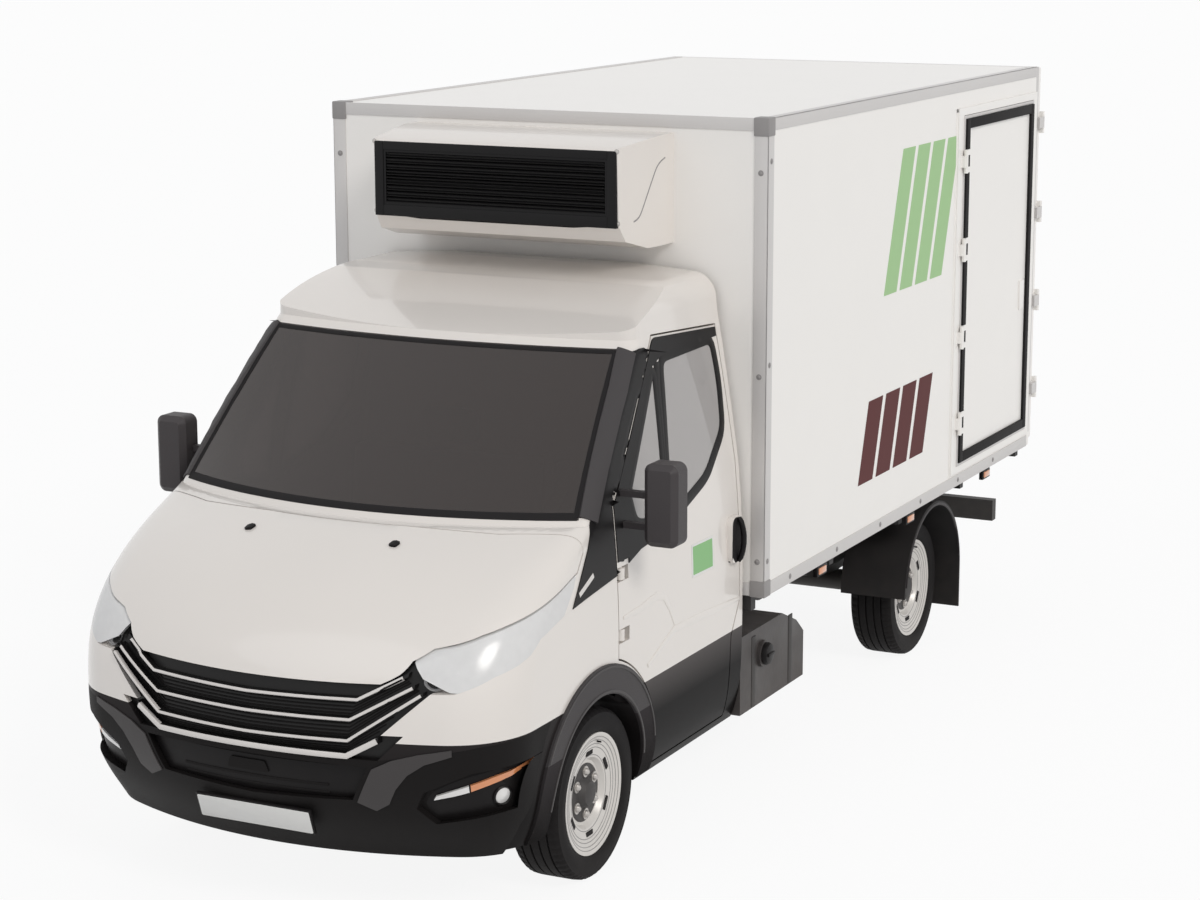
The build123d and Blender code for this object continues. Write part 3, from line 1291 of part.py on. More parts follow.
def main():
    cab = cab_parts()
    for node, shape in cab.items():
        save(node, shape)
    save("radiator", radiator(cab["bonnet"]))
    head = mirror_solid()
    head -= cab["door_left"]
    for shares in (MAIN_GLASS_SHARES, QUARTER_GLASS_SHARES):
        head -= glass_zone(shares, 0, HINGE_X)
    head = largest(head)
    save("mirror_left", head)
    save("mirror_right", mirrored(head))
    for name, side, y in wheel_places():
        save("tyre_" + name, placed_wheel(tyre(), side, y))
        save("rim_" + name, placed_wheel(rim(), side, y))
    upright = knuckle()
    save("knuckle_left", upright)
    save("knuckle_right", mirrored(upright))
    save("front_suspension", front_suspension())
    save("rear_axle", rear_axle())
    save("leaf_springs", pair(leaf_springs()))
    save("chassis_frame", chassis_frame())
    save("engine_block", engine_block())
    save("propeller_shaft", propeller_shaft())
    save("dashboard", dashboard())
    save("steering_wheel", steering_wheel())
    save("seats", seats())
    save("seat_bases", seat_bases())
    save("box_floor", box_floor())
    save("box_roof", box_roof())
    save("box_wall_left", box_wall_left())
    save("box_wall_right", box_wall_right())
    save("box_front_wall", box_front_wall())
    save("rear_frame", rear_frame())
    door = rear_door() + lock_bar(1)
    save("rear_door_left", door)
    save("rear_door_right", mirrored(door))
    save("side_door", side_door())
    save("condenser_housing", condenser_housing())
    save("condenser_grille", condenser_grille())
    save("fuel_tank", fuel_tank())
    save("mudguards", mudguards())
    save("underrun_bar", underrun_bar())
    save("tail_lamps", tail_lamps())
    save("exhaust", exhaust())


main()
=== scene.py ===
import math

import bmesh
import bpy
from mathutils import Matrix, Vector
from mathutils.bvhtree import BVHTree


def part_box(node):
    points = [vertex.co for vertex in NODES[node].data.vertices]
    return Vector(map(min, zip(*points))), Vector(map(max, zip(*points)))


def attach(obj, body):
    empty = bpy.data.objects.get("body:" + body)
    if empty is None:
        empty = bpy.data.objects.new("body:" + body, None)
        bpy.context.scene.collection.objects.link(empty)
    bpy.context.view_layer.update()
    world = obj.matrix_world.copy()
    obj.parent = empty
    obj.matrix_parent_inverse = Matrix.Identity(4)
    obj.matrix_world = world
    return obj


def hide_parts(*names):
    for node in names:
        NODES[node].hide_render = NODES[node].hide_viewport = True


bl_info = {
    "name": "Refrigerated Box Truck",
    "version": (1, 0, 0),
    "blender": (4, 5, 0),
    "location": "View3D > Sidebar > Box Truck",
    "description": "Finishes and fittings for a light refrigerated box truck",
    "category": "Add Mesh",
}

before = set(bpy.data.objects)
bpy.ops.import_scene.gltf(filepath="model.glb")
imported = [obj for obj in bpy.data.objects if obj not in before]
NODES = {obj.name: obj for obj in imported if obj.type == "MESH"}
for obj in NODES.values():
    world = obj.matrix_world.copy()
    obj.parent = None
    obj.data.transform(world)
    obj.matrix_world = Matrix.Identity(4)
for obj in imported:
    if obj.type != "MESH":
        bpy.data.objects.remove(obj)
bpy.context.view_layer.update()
AXLE_Y, REAR_AXLE_Y = (sum(corner.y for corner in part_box(f"tyre_{end}_left")) / 2 for end in ("front", "rear"))
FINISH = {}  # materials and node trees by name
SIDES = (("left", 1), ("right", -1))
START_OUT, START_OVER, START_AHEAD = 1.6, 4, -3  # where the rays that land on the truck start, in metres


# Small helpers


def tone(red, green, blue):
    """A colour given as it looks on screen, 0 to 255, as the linear value that shaders read."""
    return tuple(c / 255 / 12.92 if c < 11 else ((c / 255 + 0.055) / 1.055) ** 2.4
                 for c in (red, green, blue))


def side_point(y, z, side=1):
    """A point of the side view, y measured from the front axle, all in millimetres."""
    return Vector((side * START_OUT, AXLE_Y + y / 1000, z / 1000))


def add_object(name, data):
    item = bpy.data.objects.new(name, data)
    bpy.context.scene.collection.objects.link(item)
    return item


def new_object(name, verts, faces=()):
    """A new mesh object in the scene."""
    mesh = bpy.data.meshes.new(name)
    mesh.from_pydata([tuple(v) for v in verts], [], faces)
    return add_object(name, mesh)


def keep_result(item):
    """Puts the plain mesh that an object's modifiers make in their place."""
    bpy.context.view_layer.update()
    start = item.data
    made = bpy.data.meshes.new_from_object(item.evaluated_get(bpy.context.evaluated_depsgraph_get()))
    item.modifiers.clear()
    item.data = made
    bpy.data.meshes.remove(start)
    made.name = item.name


def tree_of(*names):
    """The surface of some CAD nodes, for rays."""
    verts, faces = [], []
    for name in names:
        mesh = NODES[name].data
        base = len(verts)
        verts += [v.co.copy() for v in mesh.vertices]
        faces += [[base + i for i in p.vertices] for p in mesh.polygons]
    return BVHTree.FromPolygons(verts, faces)


class Skin:
    """Lands points of a front, side or top view, in millimetres, on the outside of some CAD nodes."""

    def __init__(self, view, *names, side=1):
        self.view, self.side, self.tree, self.last = view, side, tree_of(*names), None

    def __call__(self, u, v):
        if self.view == "side":
            start, way = side_point(u, v, self.side), Vector((-self.side, 0, 0))
        elif self.view == "top":
            start, way = Vector((u / 1000, AXLE_Y + v / 1000, START_OVER)), Vector((0, 0, -1))
        else:
            start, way = Vector((u / 1000, AXLE_Y + START_AHEAD, v / 1000)), Vector((0, 1, 0))
        point, normal, _, _ = self.tree.ray_cast(start, way)
        if point is None:
            point, normal, _, _ = self.tree.find_nearest(self.last or start + way)
            if self.view == "side":
                point = Vector((point.x, start.y, start.z))
            elif self.view == "front":
                point = Vector((start.x, point.y, start.z))
        if normal.dot(way) > 0:
            normal = -normal
        self.last = point
        return point, normal


# The section of a band that lies on a surface, as shares of its width and height
BAND_SECTION = [(-0.5, -1), (-0.5, 0.45), (-0.32, 0.9), (0, 1), (0.32, 0.9), (0.5, 0.45), (0.5, -1)]


class Form:
    """Collects closed shells, and places them as one piece on one body."""

    def __init__(self):
        self.verts, self.faces = [], []

    def add(self, verts, faces):
        base = len(self.verts)
        self.verts += [Vector(v) for v in verts]
        self.faces += [[base + i for i in f] for f in faces]
        return self

    def join(self, other):
        return self.add(other.verts, other.faces)

    def rings(self, rows, loop=False):
        """A shell over rows of points, one ring after the other, joined end to end or capped."""
        n, count = len(rows[0]), len(rows)
        faces = [[a * n + k, a * n + (k + 1) % n, b * n + (k + 1) % n, b * n + k]
                 for a, b in ((i, (i + 1) % count) for i in range(count if loop else count - 1)) for k in range(n)]
        if not loop:
            faces += [list(range(n))[::-1], [(count - 1) * n + k for k in range(n)]]
        return self.add([v for row in rows for v in row], faces)

    def box(self, low, high, edge=0.002):
        """A block with chamfered edges."""
        low, high = Vector(low), Vector(high)
        low, high = Vector(map(min, low, high)), Vector(map(max, low, high))
        bm = bmesh.new()
        bmesh.ops.create_cube(bm, size=1)
        for v in bm.verts:
            v.co = Vector((low[i] + (high[i] - low[i]) * (v.co[i] + 0.5) for i in range(3)))
        room = min(high - low) * 0.45
        bmesh.ops.bevel(bm, geom=bm.edges[:], offset=min(edge, room), segments=2, profile=0.6, affect="EDGES")
        bm.verts.index_update()
        self.add([v.co.copy() for v in bm.verts], [[v.index for v in f.verts] for f in bm.faces])
        bm.free()
        return self

    def turned(self, profile, centre, axis, steps=48):
        """A closed profile of (radius, along) points turned round an axis."""
        axis = Vector(axis).normalized()
        first = axis.orthogonal().normalized()
        second = axis.cross(first)
        rows = []
        for k in range(steps):
            turn = 2 * math.pi * k / steps
            ray = first * math.cos(turn) + second * math.sin(turn)
            rows.append([Vector(centre) + ray * r + axis * s for r, s in profile])
        return self.rings(rows, loop=True)

    def tube(self, points, radius, sides=10):
        """A round bar along a path, closed at both ends."""
        points = [Vector(p) for p in points]
        rows = []
        up = Vector((0.13, 0.21, 1)).normalized()
        for i, p in enumerate(points):
            way = (points[min(i + 1, len(points) - 1)] - points[max(i - 1, 0)]).normalized()
            one = way.cross(up).normalized()
            two = one.cross(way)
            rows.append([p + (one * math.cos(t) + two * math.sin(t)) * radius
                         for t in (2 * math.pi * k / sides for k in range(sides))])
        return self.rings(rows)

    def strip(self, path, width, height, loop=False, sink=0.002, taper=1.0):
        """A rounded band that lies on a surface along (point, normal) pairs."""
        rows, n = [], len(path)
        for i, (p, normal) in enumerate(path):
            after = path[(i + 1) % n][0] if loop else path[min(i + 1, n - 1)][0]
            before = path[i - 1][0] if loop else path[max(i - 1, 0)][0]
            way = (after - before).normalized()
            across = way.cross(normal).normalized()
            size = width * (taper + (1 - taper) * math.sin(math.pi * i / max(n - 1, 1)))
            rows.append([p + across * u * size + normal * (h * height if h > 0 else -sink)
                         for u, h in BAND_SECTION])
        return self.rings(rows, loop)

    def run(self, skin, path, width, height, step=40, loop=False, **more):
        """A band along a path of view points, landed on a skin."""
        return self.strip([skin(u, v) for u, v in dense(path, step, loop)], width, height, loop, **more)

    def panel(self, outline, skin, lift=0.002, sink=0.002, cell=60, crown=0.0):
        """A sheet with the given outline laid on a surface, with a wall down into it."""
        bm = bmesh.new()
        bm.faces.new([bm.verts.new((u, v, 0)) for u, v in outline])
        bmesh.ops.triangulate(bm, faces=bm.faces[:])
        for axis in (0, 1):
            values = [p[axis] for p in outline]
            at = min(values) + cell
            while at < max(values) - cell * 0.2:
                plane = Vector((at, 0, 0)) if axis == 0 else Vector((0, at, 0))
                bmesh.ops.bisect_plane(bm, geom=[*bm.verts, *bm.edges, *bm.faces], plane_co=plane,
                                       plane_no=Vector((1 - axis, axis, 0)))
                at += cell
        bmesh.ops.triangulate(bm, faces=bm.faces[:])
        bm.verts.index_update()
        landed = {v.index: skin(v.co.x, v.co.y) for v in bm.verts}
        rim = {v.index for e in bm.edges if e.is_boundary for v in e.verts}
        top = [point + normal * (lift + (0 if index in rim else crown))
               for index, (point, normal) in landed.items()]
        under = [point - normal * sink for point, normal in landed.values()]
        count = len(top)
        faces = [[v.index for v in f.verts] for f in bm.faces]
        walls = []
        for e in bm.edges:
            if e.is_boundary:
                a, b = (loop.vert.index for loop in (e.link_loops[0], e.link_loops[0].link_loop_next))
                walls.append([b, a, a + count, b + count])
        bm.free()
        return self.add(top + under, faces + [[i + count for i in f[::-1]] for f in faces] + walls)

    def place(self, name, slot, finish, body="chassis", sharp=32):
        """Makes one piece of the shells, smooth up to a sharp angle."""
        piece = new_object(name, self.verts, self.faces)
        bm = bmesh.new()
        bm.from_mesh(piece.data)
        bmesh.ops.recalc_face_normals(bm, faces=bm.faces[:])
        for face in bm.faces:
            face.smooth = True
        for edge in bm.edges:
            edge.smooth = not (len(edge.link_faces) == 2 and edge.calc_face_angle(0) > math.radians(sharp))
        bm.to_mesh(piece.data)
        bm.free()
        piece.data.materials.append(FINISH[finish])
        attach(piece, body)
        return piece


def dense(points, step=40, loop=False):
    """Extra points along straight runs, so that a band follows the surface under it."""
    out = []
    ends = list(zip(points, points[1:] + points[:1]))
    for (a, b), (c, d) in ends if loop else ends[:-1]:
        count = max(1, round(math.hypot(c - a, d - b) / step))
        out += [(a + (c - a) * k / count, b + (d - b) * k / count) for k in range(count)]
    return out if loop else out + [points[-1]]


def rounded(points, radius, steps=4):
    """A closed outline with its corners rounded."""
    out, n = [], len(points)
    for i in range(n):
        a, b, c = (Vector(points[k % n]) for k in (i - 1, i, i + 1))
        cut = min(radius, (a - b).length * 0.45, (c - b).length * 0.45)
        start, end = b + (a - b).normalized() * cut, b + (c - b).normalized() * cut
        for k in range(steps + 1):
            t = k / steps
            out.append(tuple(start * (1 - t) ** 2 + b * 2 * t * (1 - t) + end * t * t))
    return out


def arc(centre, radius, start, end, steps):
    turns = [math.radians(start + (end - start) * k / steps) for k in range(steps + 1)]
    return [(centre[0] + radius * math.cos(turn), centre[1] + radius * math.sin(turn)) for turn in turns]


def both(shape):
    """The same outline on the other side of the middle line."""
    return [(-u, v) for u, v in shape]


# Node trees


VECTOR, COLOUR, NUMBER = "NodeSocketVector", "NodeSocketColor", "NodeSocketFloat"
SOLID = "NodeSocketGeometry"
MID_GREY = (0.5, 0.5, 0.5, 1)


def new_tree(kind, name, inputs, outputs):
    """A node group: its tree, the sockets it is given and the sockets it fills."""
    tree = bpy.data.node_groups.new(name, kind)
    for title, socket_kind, value in inputs:
        socket = tree.interface.new_socket(title, in_out="INPUT", socket_type=socket_kind)
        if value is not None:
            socket.default_value = value
    for title, socket_kind in outputs:
        tree.interface.new_socket(title, in_out="OUTPUT", socket_type=socket_kind)
    return tree, tree.nodes.new("NodeGroupInput").outputs, tree.nodes.new("NodeGroupOutput").inputs


def feed(tree, node, links):
    """Links or sets a node's inputs by name or number."""
    for key, source in links:
        if isinstance(source, bpy.types.NodeSocket):
            tree.links.new(source, node.inputs[key])
        else:
            node.inputs[key].default_value = source


def wire(tree, kind, links=(), **values):
    """A new node with its settings and inputs."""
    node = tree.nodes.new(kind)
    for key, value in values.items():
        setattr(node, key, value)
    feed(tree, node, links)
    return node


def calc(tree, operation, *values, use_clamp=False):
    """The result of one sum on sockets or numbers."""
    return wire(tree, "ShaderNodeMath", enumerate(values), operation=operation, use_clamp=use_clamp).outputs[0]


def noise(tree, vector, scale, detail):
    links = [("Vector", vector), ("Scale", scale), ("Detail", detail)]
    return wire(tree, "ShaderNodeTexNoise", links).outputs["Fac"]


def blend(tree, factor, first, second):
    """Two colours mixed by a factor."""
    return wire(tree, "ShaderNodeMix", [("Factor", factor), (6, first), (7, second)], data_type="RGBA").outputs[2]


def remap(tree, value, *ends):
    return wire(tree, "ShaderNodeMapRange", [("Value", value), *ends]).outputs[0]


def height_of(tree, place):
    return wire(tree, "ShaderNodeSeparateXYZ", [(0, place)]).outputs["Z"]


def surface_grain():
    """Slow colour drift and a fine grain, for paint, plastic, rubber and cast parts."""
    tree, given, out = new_tree(
        "ShaderNodeTree", "surface_grain",
        [("Vector", VECTOR, None), ("Color", COLOUR, MID_GREY), ("Scale", NUMBER, 300.0), ("Drift", NUMBER, 0.05),
         ("Roughness", NUMBER, 0.5)],
        [("Color", COLOUR), ("Height", NUMBER), ("Roughness", NUMBER)])
    swing = calc(tree, "SUBTRACT", noise(tree, given["Vector"], 2.3, 4.0), 0.5)
    change = calc(tree, "MULTIPLY", swing, given["Drift"])
    value = calc(tree, "ADD", change, 1.0)
    tinted = wire(tree, "ShaderNodeHueSaturation", [("Value", value), ("Color", given["Color"])])
    tree.links.new(tinted.outputs[0], out["Color"])
    tree.links.new(noise(tree, given["Vector"], given["Scale"], 3.0), out["Height"])
    tree.links.new(calc(tree, "ADD", change, given["Roughness"]), out["Roughness"])
    return tree


def road_film():
    """Thin grey road dirt, thickest low down and broken up by noise."""
    tree, given, out = new_tree(
        "ShaderNodeTree", "road_film",
        [("Vector", VECTOR, None), ("Color", COLOUR, MID_GREY), ("Dirt", COLOUR, (*tone(118, 110, 100), 1)),
         ("Top", NUMBER, 0.9), ("Amount", NUMBER, 0.2)],
        [("Color", COLOUR)])
    low = remap(tree, height_of(tree, given["Vector"]), ("From Min", given["Top"]), ("From Max", 0.0))
    spots = calc(tree, "MULTIPLY", low, noise(tree, given["Vector"], 14.0, 6.0))
    mask = calc(tree, "MULTIPLY", spots, given["Amount"], use_clamp=True)
    tree.links.new(blend(tree, mask, given["Color"], given["Dirt"]), out["Color"])
    return tree


def new_material(name):
    """A material, its tree, its shader and the place of each shaded point."""
    material = bpy.data.materials.new(name)
    material.use_nodes = True
    tree = material.node_tree
    return material, tree, tree.nodes["Principled BSDF"], wire(tree, "ShaderNodeTexCoord").outputs["Object"]


def coating(name, colour, roughness, scale=300.0, depth=0.1, drift=0.05, dirt=0.15, top=0.9, metal=0.0, coat=0.0,
            sheen=0.0, band=None, shine=0.5):
    """A finish for a solid surface. band is the height, fade and two colours of a darker lower part."""
    FINISH[name], tree, shader, place = new_material(name)
    grain = wire(tree, "ShaderNodeGroup", [("Vector", place), ("Color", (*colour, 1)), ("Scale", scale),
                                           ("Drift", drift), ("Roughness", roughness)],
                 node_tree=FINISH["surface_grain"]).outputs
    film = wire(tree, "ShaderNodeGroup", [("Vector", place), ("Color", grain["Color"]), ("Top", top),
                                          ("Amount", dirt)], node_tree=FINISH["road_film"])
    bump = wire(tree, "ShaderNodeBump", [("Height", grain["Height"]), ("Strength", depth), ("Distance", 0.001)])
    feed(tree, shader, [("Base Color", film.outputs["Color"]), ("Roughness", grain["Roughness"]),
                        ("Normal", bump.outputs[0]), ("Metallic", metal), ("Specular IOR Level", shine),
                        ("Coat Weight", coat), ("Coat Roughness", 0.05), ("Sheen Weight", sheen)])
    if band:
        edge_height, fade, upper, lower = band
        height = height_of(tree, place)
        below = calc(tree, "LESS_THAN", height, edge_height)
        share = remap(tree, height, ("From Min", edge_height), ("From Max", edge_height - fade))
        shade = blend(tree, share, (*upper, 1), (*lower, 1))
        feed(tree, shader, [("Base Color", blend(tree, below, film.outputs["Color"], shade))])
        for socket, clean in (("Coat Weight", coat), ("Specular IOR Level", shine)):
            feed(tree, shader, [(socket, calc(tree, "MULTIPLY_ADD", below, -0.95 * clean, clean))])


def glazing(name, colour, transmission, roughness=0.03, mottle=0.0):
    """Tinted or clear glass, with an optional cloudy pattern in its roughness."""
    FINISH[name], tree, shader, place = new_material(name)
    clouds = noise(tree, place, 26.0, 5.0)
    darker = tuple(c * (1 - 0.6 * mottle) for c in colour)
    rough = remap(tree, clouds, ("To Min", roughness), ("To Max", roughness + 0.02 + 0.3 * mottle))
    feed(tree, shader, [("Base Color", blend(tree, clouds, (*darker, 1), (*colour, 1))), ("Roughness", rough),
                        ("Transmission Weight", transmission), ("IOR", 1.45)])


# Darker lower parts: height and fade in metres, the colour at the top and at the bottom
DOOR_BAND = (0.725, 0.16, tone(84, 80, 79), tone(20, 18, 18))
FENDER_BAND = (0.796, 0.3, tone(44, 41, 41), tone(26, 24, 24))
MOULDING_BAND = (0.62, 0.3, tone(58, 55, 56), tone(26, 24, 24))

# Each row: colour on screen, roughness, grain scale, grain depth, colour drift, and what else differs
COATINGS = {
    "frame_alloy": ((206, 203, 201), 0.42, 700, 0.08, 0.06, dict(metal=0.15, top=1.2)),
    "corner_grey": ((146, 143, 142), 0.55, 500, 0.2, 0.08, {}),
    "bumper_plastic": ((24, 22, 22), 0.55, 850, 0.3, 0.12, dict(dirt=0.02, shine=0.1)),
    "bumper_grey": ((62, 59, 59), 0.46, 850, 0.3, 0.1, dict(dirt=0.05, shine=0.3)),
    "black_trim": ((20, 18, 19), 0.4, 700, 0.15, 0.1, dict(dirt=0.05, shine=0.15)),
    "grille_black": ((20, 19, 19), 0.35, 500, 0.1, 0.1, dict(dirt=0.05, shine=0.25)),
    "bar_pale": ((214, 209, 205), 0.28, 800, 0.03, 0.05, dict(coat=0.5)),
    "moulding_grey": ((62, 59, 60), 0.6, 900, 0.5, 0.12,
                      dict(dirt=0.06, shine=0.3, band=MOULDING_BAND)),
    "mirror_black": ((66, 62, 63), 0.5, 900, 0.4, 0.2, dict(dirt=0.05, shine=0.25)),
    "dash_plastic": ((58, 56, 57), 0.62, 700, 0.5, 0.08, dict(dirt=0.0)),
    "seat_cloth": ((66, 66, 72), 0.9, 1400, 0.9, 0.2, dict(dirt=0.0, sheen=0.5)),
    "unit_white": ((228, 222, 216), 0.34, 600, 0.04, 0.03, dict(coat=0.4)),
    "unit_black": ((18, 17, 18), 0.45, 500, 0.1, 0.1, dict(dirt=0.05, shine=0.2)),
    "chassis_black": ((34, 32, 33), 0.6, 400, 0.4, 0.2, dict(dirt=0.35)),
    "engine_grey": ((96, 95, 94), 0.6, 180, 0.9, 0.2, dict(metal=0.5)),
    "tyre_rubber": ((20, 18, 19), 0.75, 500, 0.35, 0.15, dict(dirt=0.05, top=0.7, shine=0.2)),
    "rim_silver": ((216, 212, 207), 0.36, 600, 0.06, 0.05, dict(dirt=0.2, metal=0.15)),
    "hub_dark": ((60, 58, 58), 0.55, 260, 0.7, 0.35, dict(metal=0.3)),
    "bolt_steel": ((186, 182, 178), 0.32, 500, 0.15, 0.15, dict(metal=0.7)),
    "brake_iron": ((104, 98, 94), 0.6, 240, 0.7, 0.3, dict(metal=0.6)),
    "tank_black": ((56, 52, 52), 0.55, 40, 0.6, 0.9, dict(dirt=0.35)),
    "guard_black": ((28, 26, 27), 0.6, 600, 0.4, 0.15, dict(dirt=0.15, shine=0.25)),
    "lamp_red": ((150, 28, 24), 0.2, 120, 0.5, 0.1, dict(coat=0.8)),
    "lamp_amber": ((216, 140, 92), 0.2, 140, 0.5, 0.2, dict(coat=0.8)),
    "lamp_pearl": ((226, 224, 222), 0.18, 70, 0.9, 0.3, dict(coat=0.8)),
    "reflector": ((215, 215, 216), 0.16, 60, 0.3, 0.2, dict(metal=0.9)),
    "exhaust_steel": ((120, 114, 108), 0.45, 300, 0.4, 0.3, dict(metal=0.8)),
    "gasket_black": ((26, 24, 25), 0.7, 900, 0.3, 0.1, dict(dirt=0.05, shine=0.2)),
    "plate_white": ((224, 223, 220), 0.35, 500, 0.1, 0.02, {}),
    "sign_green": ((132, 186, 122), 0.4, 500, 0.1, 0.03, {}),
    "mirror_glass": ((190, 194, 198), 0.04, 20, 0.0, 0.01, dict(metal=1.0)),
}


def make_finishes():
    """Makes the procedural finishes and the node trees"""
    for tree in (surface_grain(), road_film(), bolt_tree(), slat_tree()):
        FINISH[tree.name] = tree
    for name, (colour, roughness, scale, depth, drift, more) in COATINGS.items():
        coating(name, tone(*colour), roughness, scale, depth, drift, **more)
    colours = bpy.context.scene.truck_colours
    for name, band in (("cab_paint", None), ("cab_paint_side", DOOR_BAND), ("fender_paint", FENDER_BAND)):
        coating(name, tuple(colours.cab_paint), 0.3, 900, 0.02, 0.03, dirt=0.1, coat=0.7, band=band)
    coating("box_panel", tuple(colours.box_panel), 0.42, 160, 0.12, 0.03, dirt=0.08, top=1.4, coat=0.2)
    coating("stripe_green", tuple(colours.stripe_high), 0.5, 160, 0.1, 0.03, dirt=0.03, shine=0.2)
    coating("stripe_red", tuple(colours.stripe_low), 0.5, 160, 0.1, 0.03, dirt=0.03, shine=0.15)
    # The windscreen's dark colour is painted shade of the cab inside, over a slight real tint.
    glazing("screen_glass", tone(92, 82, 79), 0.7)
    # The door glass's pale colour is a painted reflection.
    glazing("door_glass", tone(200, 196, 194), 0.42)
    # The lamp glass's pale, cloudy colour is a painted reflection.
    glazing("lamp_glass", tone(240, 239, 238), 0.18, roughness=0.14, mottle=0.16)


WHEELS = {"front_left": 1, "front_right": -1, "rear_left": 1, "rear_right": -1}
CAD_FINISH = {
    "cab_paint": ("bonnet",),
    "fender_paint": ("front_fenders",),
    "cab_paint_side": ("cab_body", "door_left", "door_right"),
    "moulding_grey": ("arch_mouldings",),
    "bumper_plastic": ("front_bumper",),
    "grille_black": ("grille",),
    "lamp_glass": ("headlamps",),
    "screen_glass": ("windscreen",),
    "door_glass": ("door_glass_left", "door_glass_right"),
    "mirror_black": ("mirror_left", "mirror_right"),
    "dash_plastic": ("dashboard", "steering_wheel", "seat_bases"),
    "seat_cloth": ("seats",),
    "chassis_black": ("front_suspension", "rear_axle", "leaf_springs", "chassis_frame", "propeller_shaft",
                      "underrun_bar"),
    "engine_grey": ("engine_block",),
    "unit_black": ("radiator", "condenser_grille"),
    "unit_white": ("condenser_housing",),
    "box_panel": ("box_floor", "box_roof", "box_wall_left", "box_wall_right", "box_front_wall",
                  "rear_door_left", "rear_door_right", "side_door"),
    "frame_alloy": ("rear_frame",),
    "tank_black": ("fuel_tank",),
    "guard_black": ("mudguards",),
    "lamp_red": ("tail_lamps",),
    "exhaust_steel": ("exhaust",),
    "brake_iron": ("knuckle_left", "knuckle_right"),
    "tyre_rubber": tuple("tyre_" + wheel for wheel in WHEELS),
    "rim_silver": tuple("rim_" + wheel for wheel in WHEELS),
}


def smooth_tree():
    """Merges a CAD mesh's loose triangles and shades it smooth up to a sharp angle."""
    tree, given, out = new_tree("GeometryNodeTree", "smooth_form",
                                [("Geometry", SOLID, None), ("Angle", NUMBER, math.radians(28))],
                                [("Geometry", SOLID)])
    merged = wire(tree, "GeometryNodeMergeByDistance", [("Geometry", given["Geometry"]), ("Distance", 0.00002)])
    smooth = wire(tree, "GeometryNodeSetShadeSmooth", [("Geometry", merged.outputs[0]), ("Shade Smooth", True)])
    angle = wire(tree, "GeometryNodeInputMeshEdgeAngle").outputs[0]
    sharp = wire(tree, "FunctionNodeCompare", [("A", angle), ("B", given["Angle"])],
                 data_type="FLOAT", operation="GREATER_THAN")
    edged = wire(tree, "GeometryNodeSetShadeSmooth", [("Geometry", smooth.outputs[0]), ("Shade Smooth", False),
                                                      ("Selection", sharp.outputs[0])], domain="EDGE")
    tree.links.new(edged.outputs[0], out["Geometry"])
    return tree


def point_tree(name, inputs):
    """A tree that puts a shape on loose points and gives it a finish."""
    return new_tree("GeometryNodeTree", name,
                    [("Geometry", SOLID, None), *inputs, ("Finish", "NodeSocketMaterial", None)],
                    [("Geometry", SOLID)])


def on_points(tree, given, out, *links):
    placed = wire(tree, "GeometryNodeInstanceOnPoints", [("Points", given["Geometry"]), *links])
    real = wire(tree, "GeometryNodeRealizeInstances", [(0, placed.outputs[0])])
    done = wire(tree, "GeometryNodeSetMaterial", [("Geometry", real.outputs[0]), ("Material", given["Finish"])])
    tree.links.new(done.outputs[0], out["Geometry"])
    return tree


def bolt_tree():
    """A domed bolt with its washer on each point, all turned one way."""
    tree, given, out = point_tree("bolt_on_points", [("Radius", NUMBER, 0.01), ("Height", NUMBER, 0.006),
                                                     ("Facing", VECTOR, (0, 0, 1))])
    radius, height = given["Radius"], given["Height"]
    wide, thin = calc(tree, "MULTIPLY", radius, 1.45), calc(tree, "MULTIPLY", height, 0.4)
    washer = wire(tree, "GeometryNodeMeshCylinder", [("Vertices", 16), ("Radius", wide), ("Depth", thin)])
    dome = wire(tree, "GeometryNodeMeshUVSphere", [("Segments", 12), ("Rings", 8), ("Radius", radius)])
    squash = calc(tree, "DIVIDE", height, radius)
    shape = wire(tree, "ShaderNodeCombineXYZ", [("X", 1.0), ("Y", 1.0), ("Z", squash)])
    squashed = wire(tree, "GeometryNodeTransform", [("Geometry", dome.outputs[0]), ("Scale", shape.outputs[0])])
    bolt = wire(tree, "GeometryNodeJoinGeometry")
    tree.links.new(washer.outputs[0], bolt.inputs[0])
    tree.links.new(squashed.outputs[0], bolt.inputs[0])
    facing = wire(tree, "FunctionNodeAlignRotationToVector", [("Vector", given["Facing"])], axis="Z")
    return on_points(tree, given, out, ("Instance", bolt.outputs[0]), ("Rotation", facing.outputs[0]))


def slat_tree():
    """Tilted slats in a row on the points of a line."""
    tree, given, out = point_tree("slats_on_points", [("Size", VECTOR, (1, 0.01, 0.01)), ("Tilt", NUMBER, 0.4)])
    slat = wire(tree, "GeometryNodeMeshCube", [("Size", given["Size"])])
    turn = wire(tree, "ShaderNodeCombineXYZ", [("X", given["Tilt"])])
    tilted = wire(tree, "GeometryNodeTransform", [("Geometry", slat.outputs[0]), ("Rotation", turn.outputs[0])])
    return on_points(tree, given, out, ("Instance", tilted.outputs[0]))


def grown(name, tree, points, settings, body, finish):
    """Runs a tree on loose points, keeps its result as a plain mesh, and rides it on a body."""
    seed = new_object(name, points)
    modifier = seed.modifiers.new("made", "NODES")
    modifier.node_group = FINISH[tree]
    ids = {s.name: s.identifier for s in FINISH[tree].interface.items_tree if s.in_out == "INPUT"}
    for title, value in {**settings, "Finish": FINISH[finish]}.items():
        modifier[ids[title]] = value
    keep_result(seed)
    seed.data.materials.clear()
    seed.data.materials.append(FINISH[finish])
    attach(seed, body)
    return seed


def bolts(name, points, facing, radius, height, body, finish="bolt_steel"):
    settings = {"Radius": radius, "Height": height, "Facing": tuple(facing)}
    return grown(name, "bolt_on_points", points, settings, body, finish)


def slats(name, points, size, tilt, finish):
    return grown(name, "slats_on_points", points, {"Size": tuple(size), "Tilt": tilt}, "chassis", finish)


# Wheels

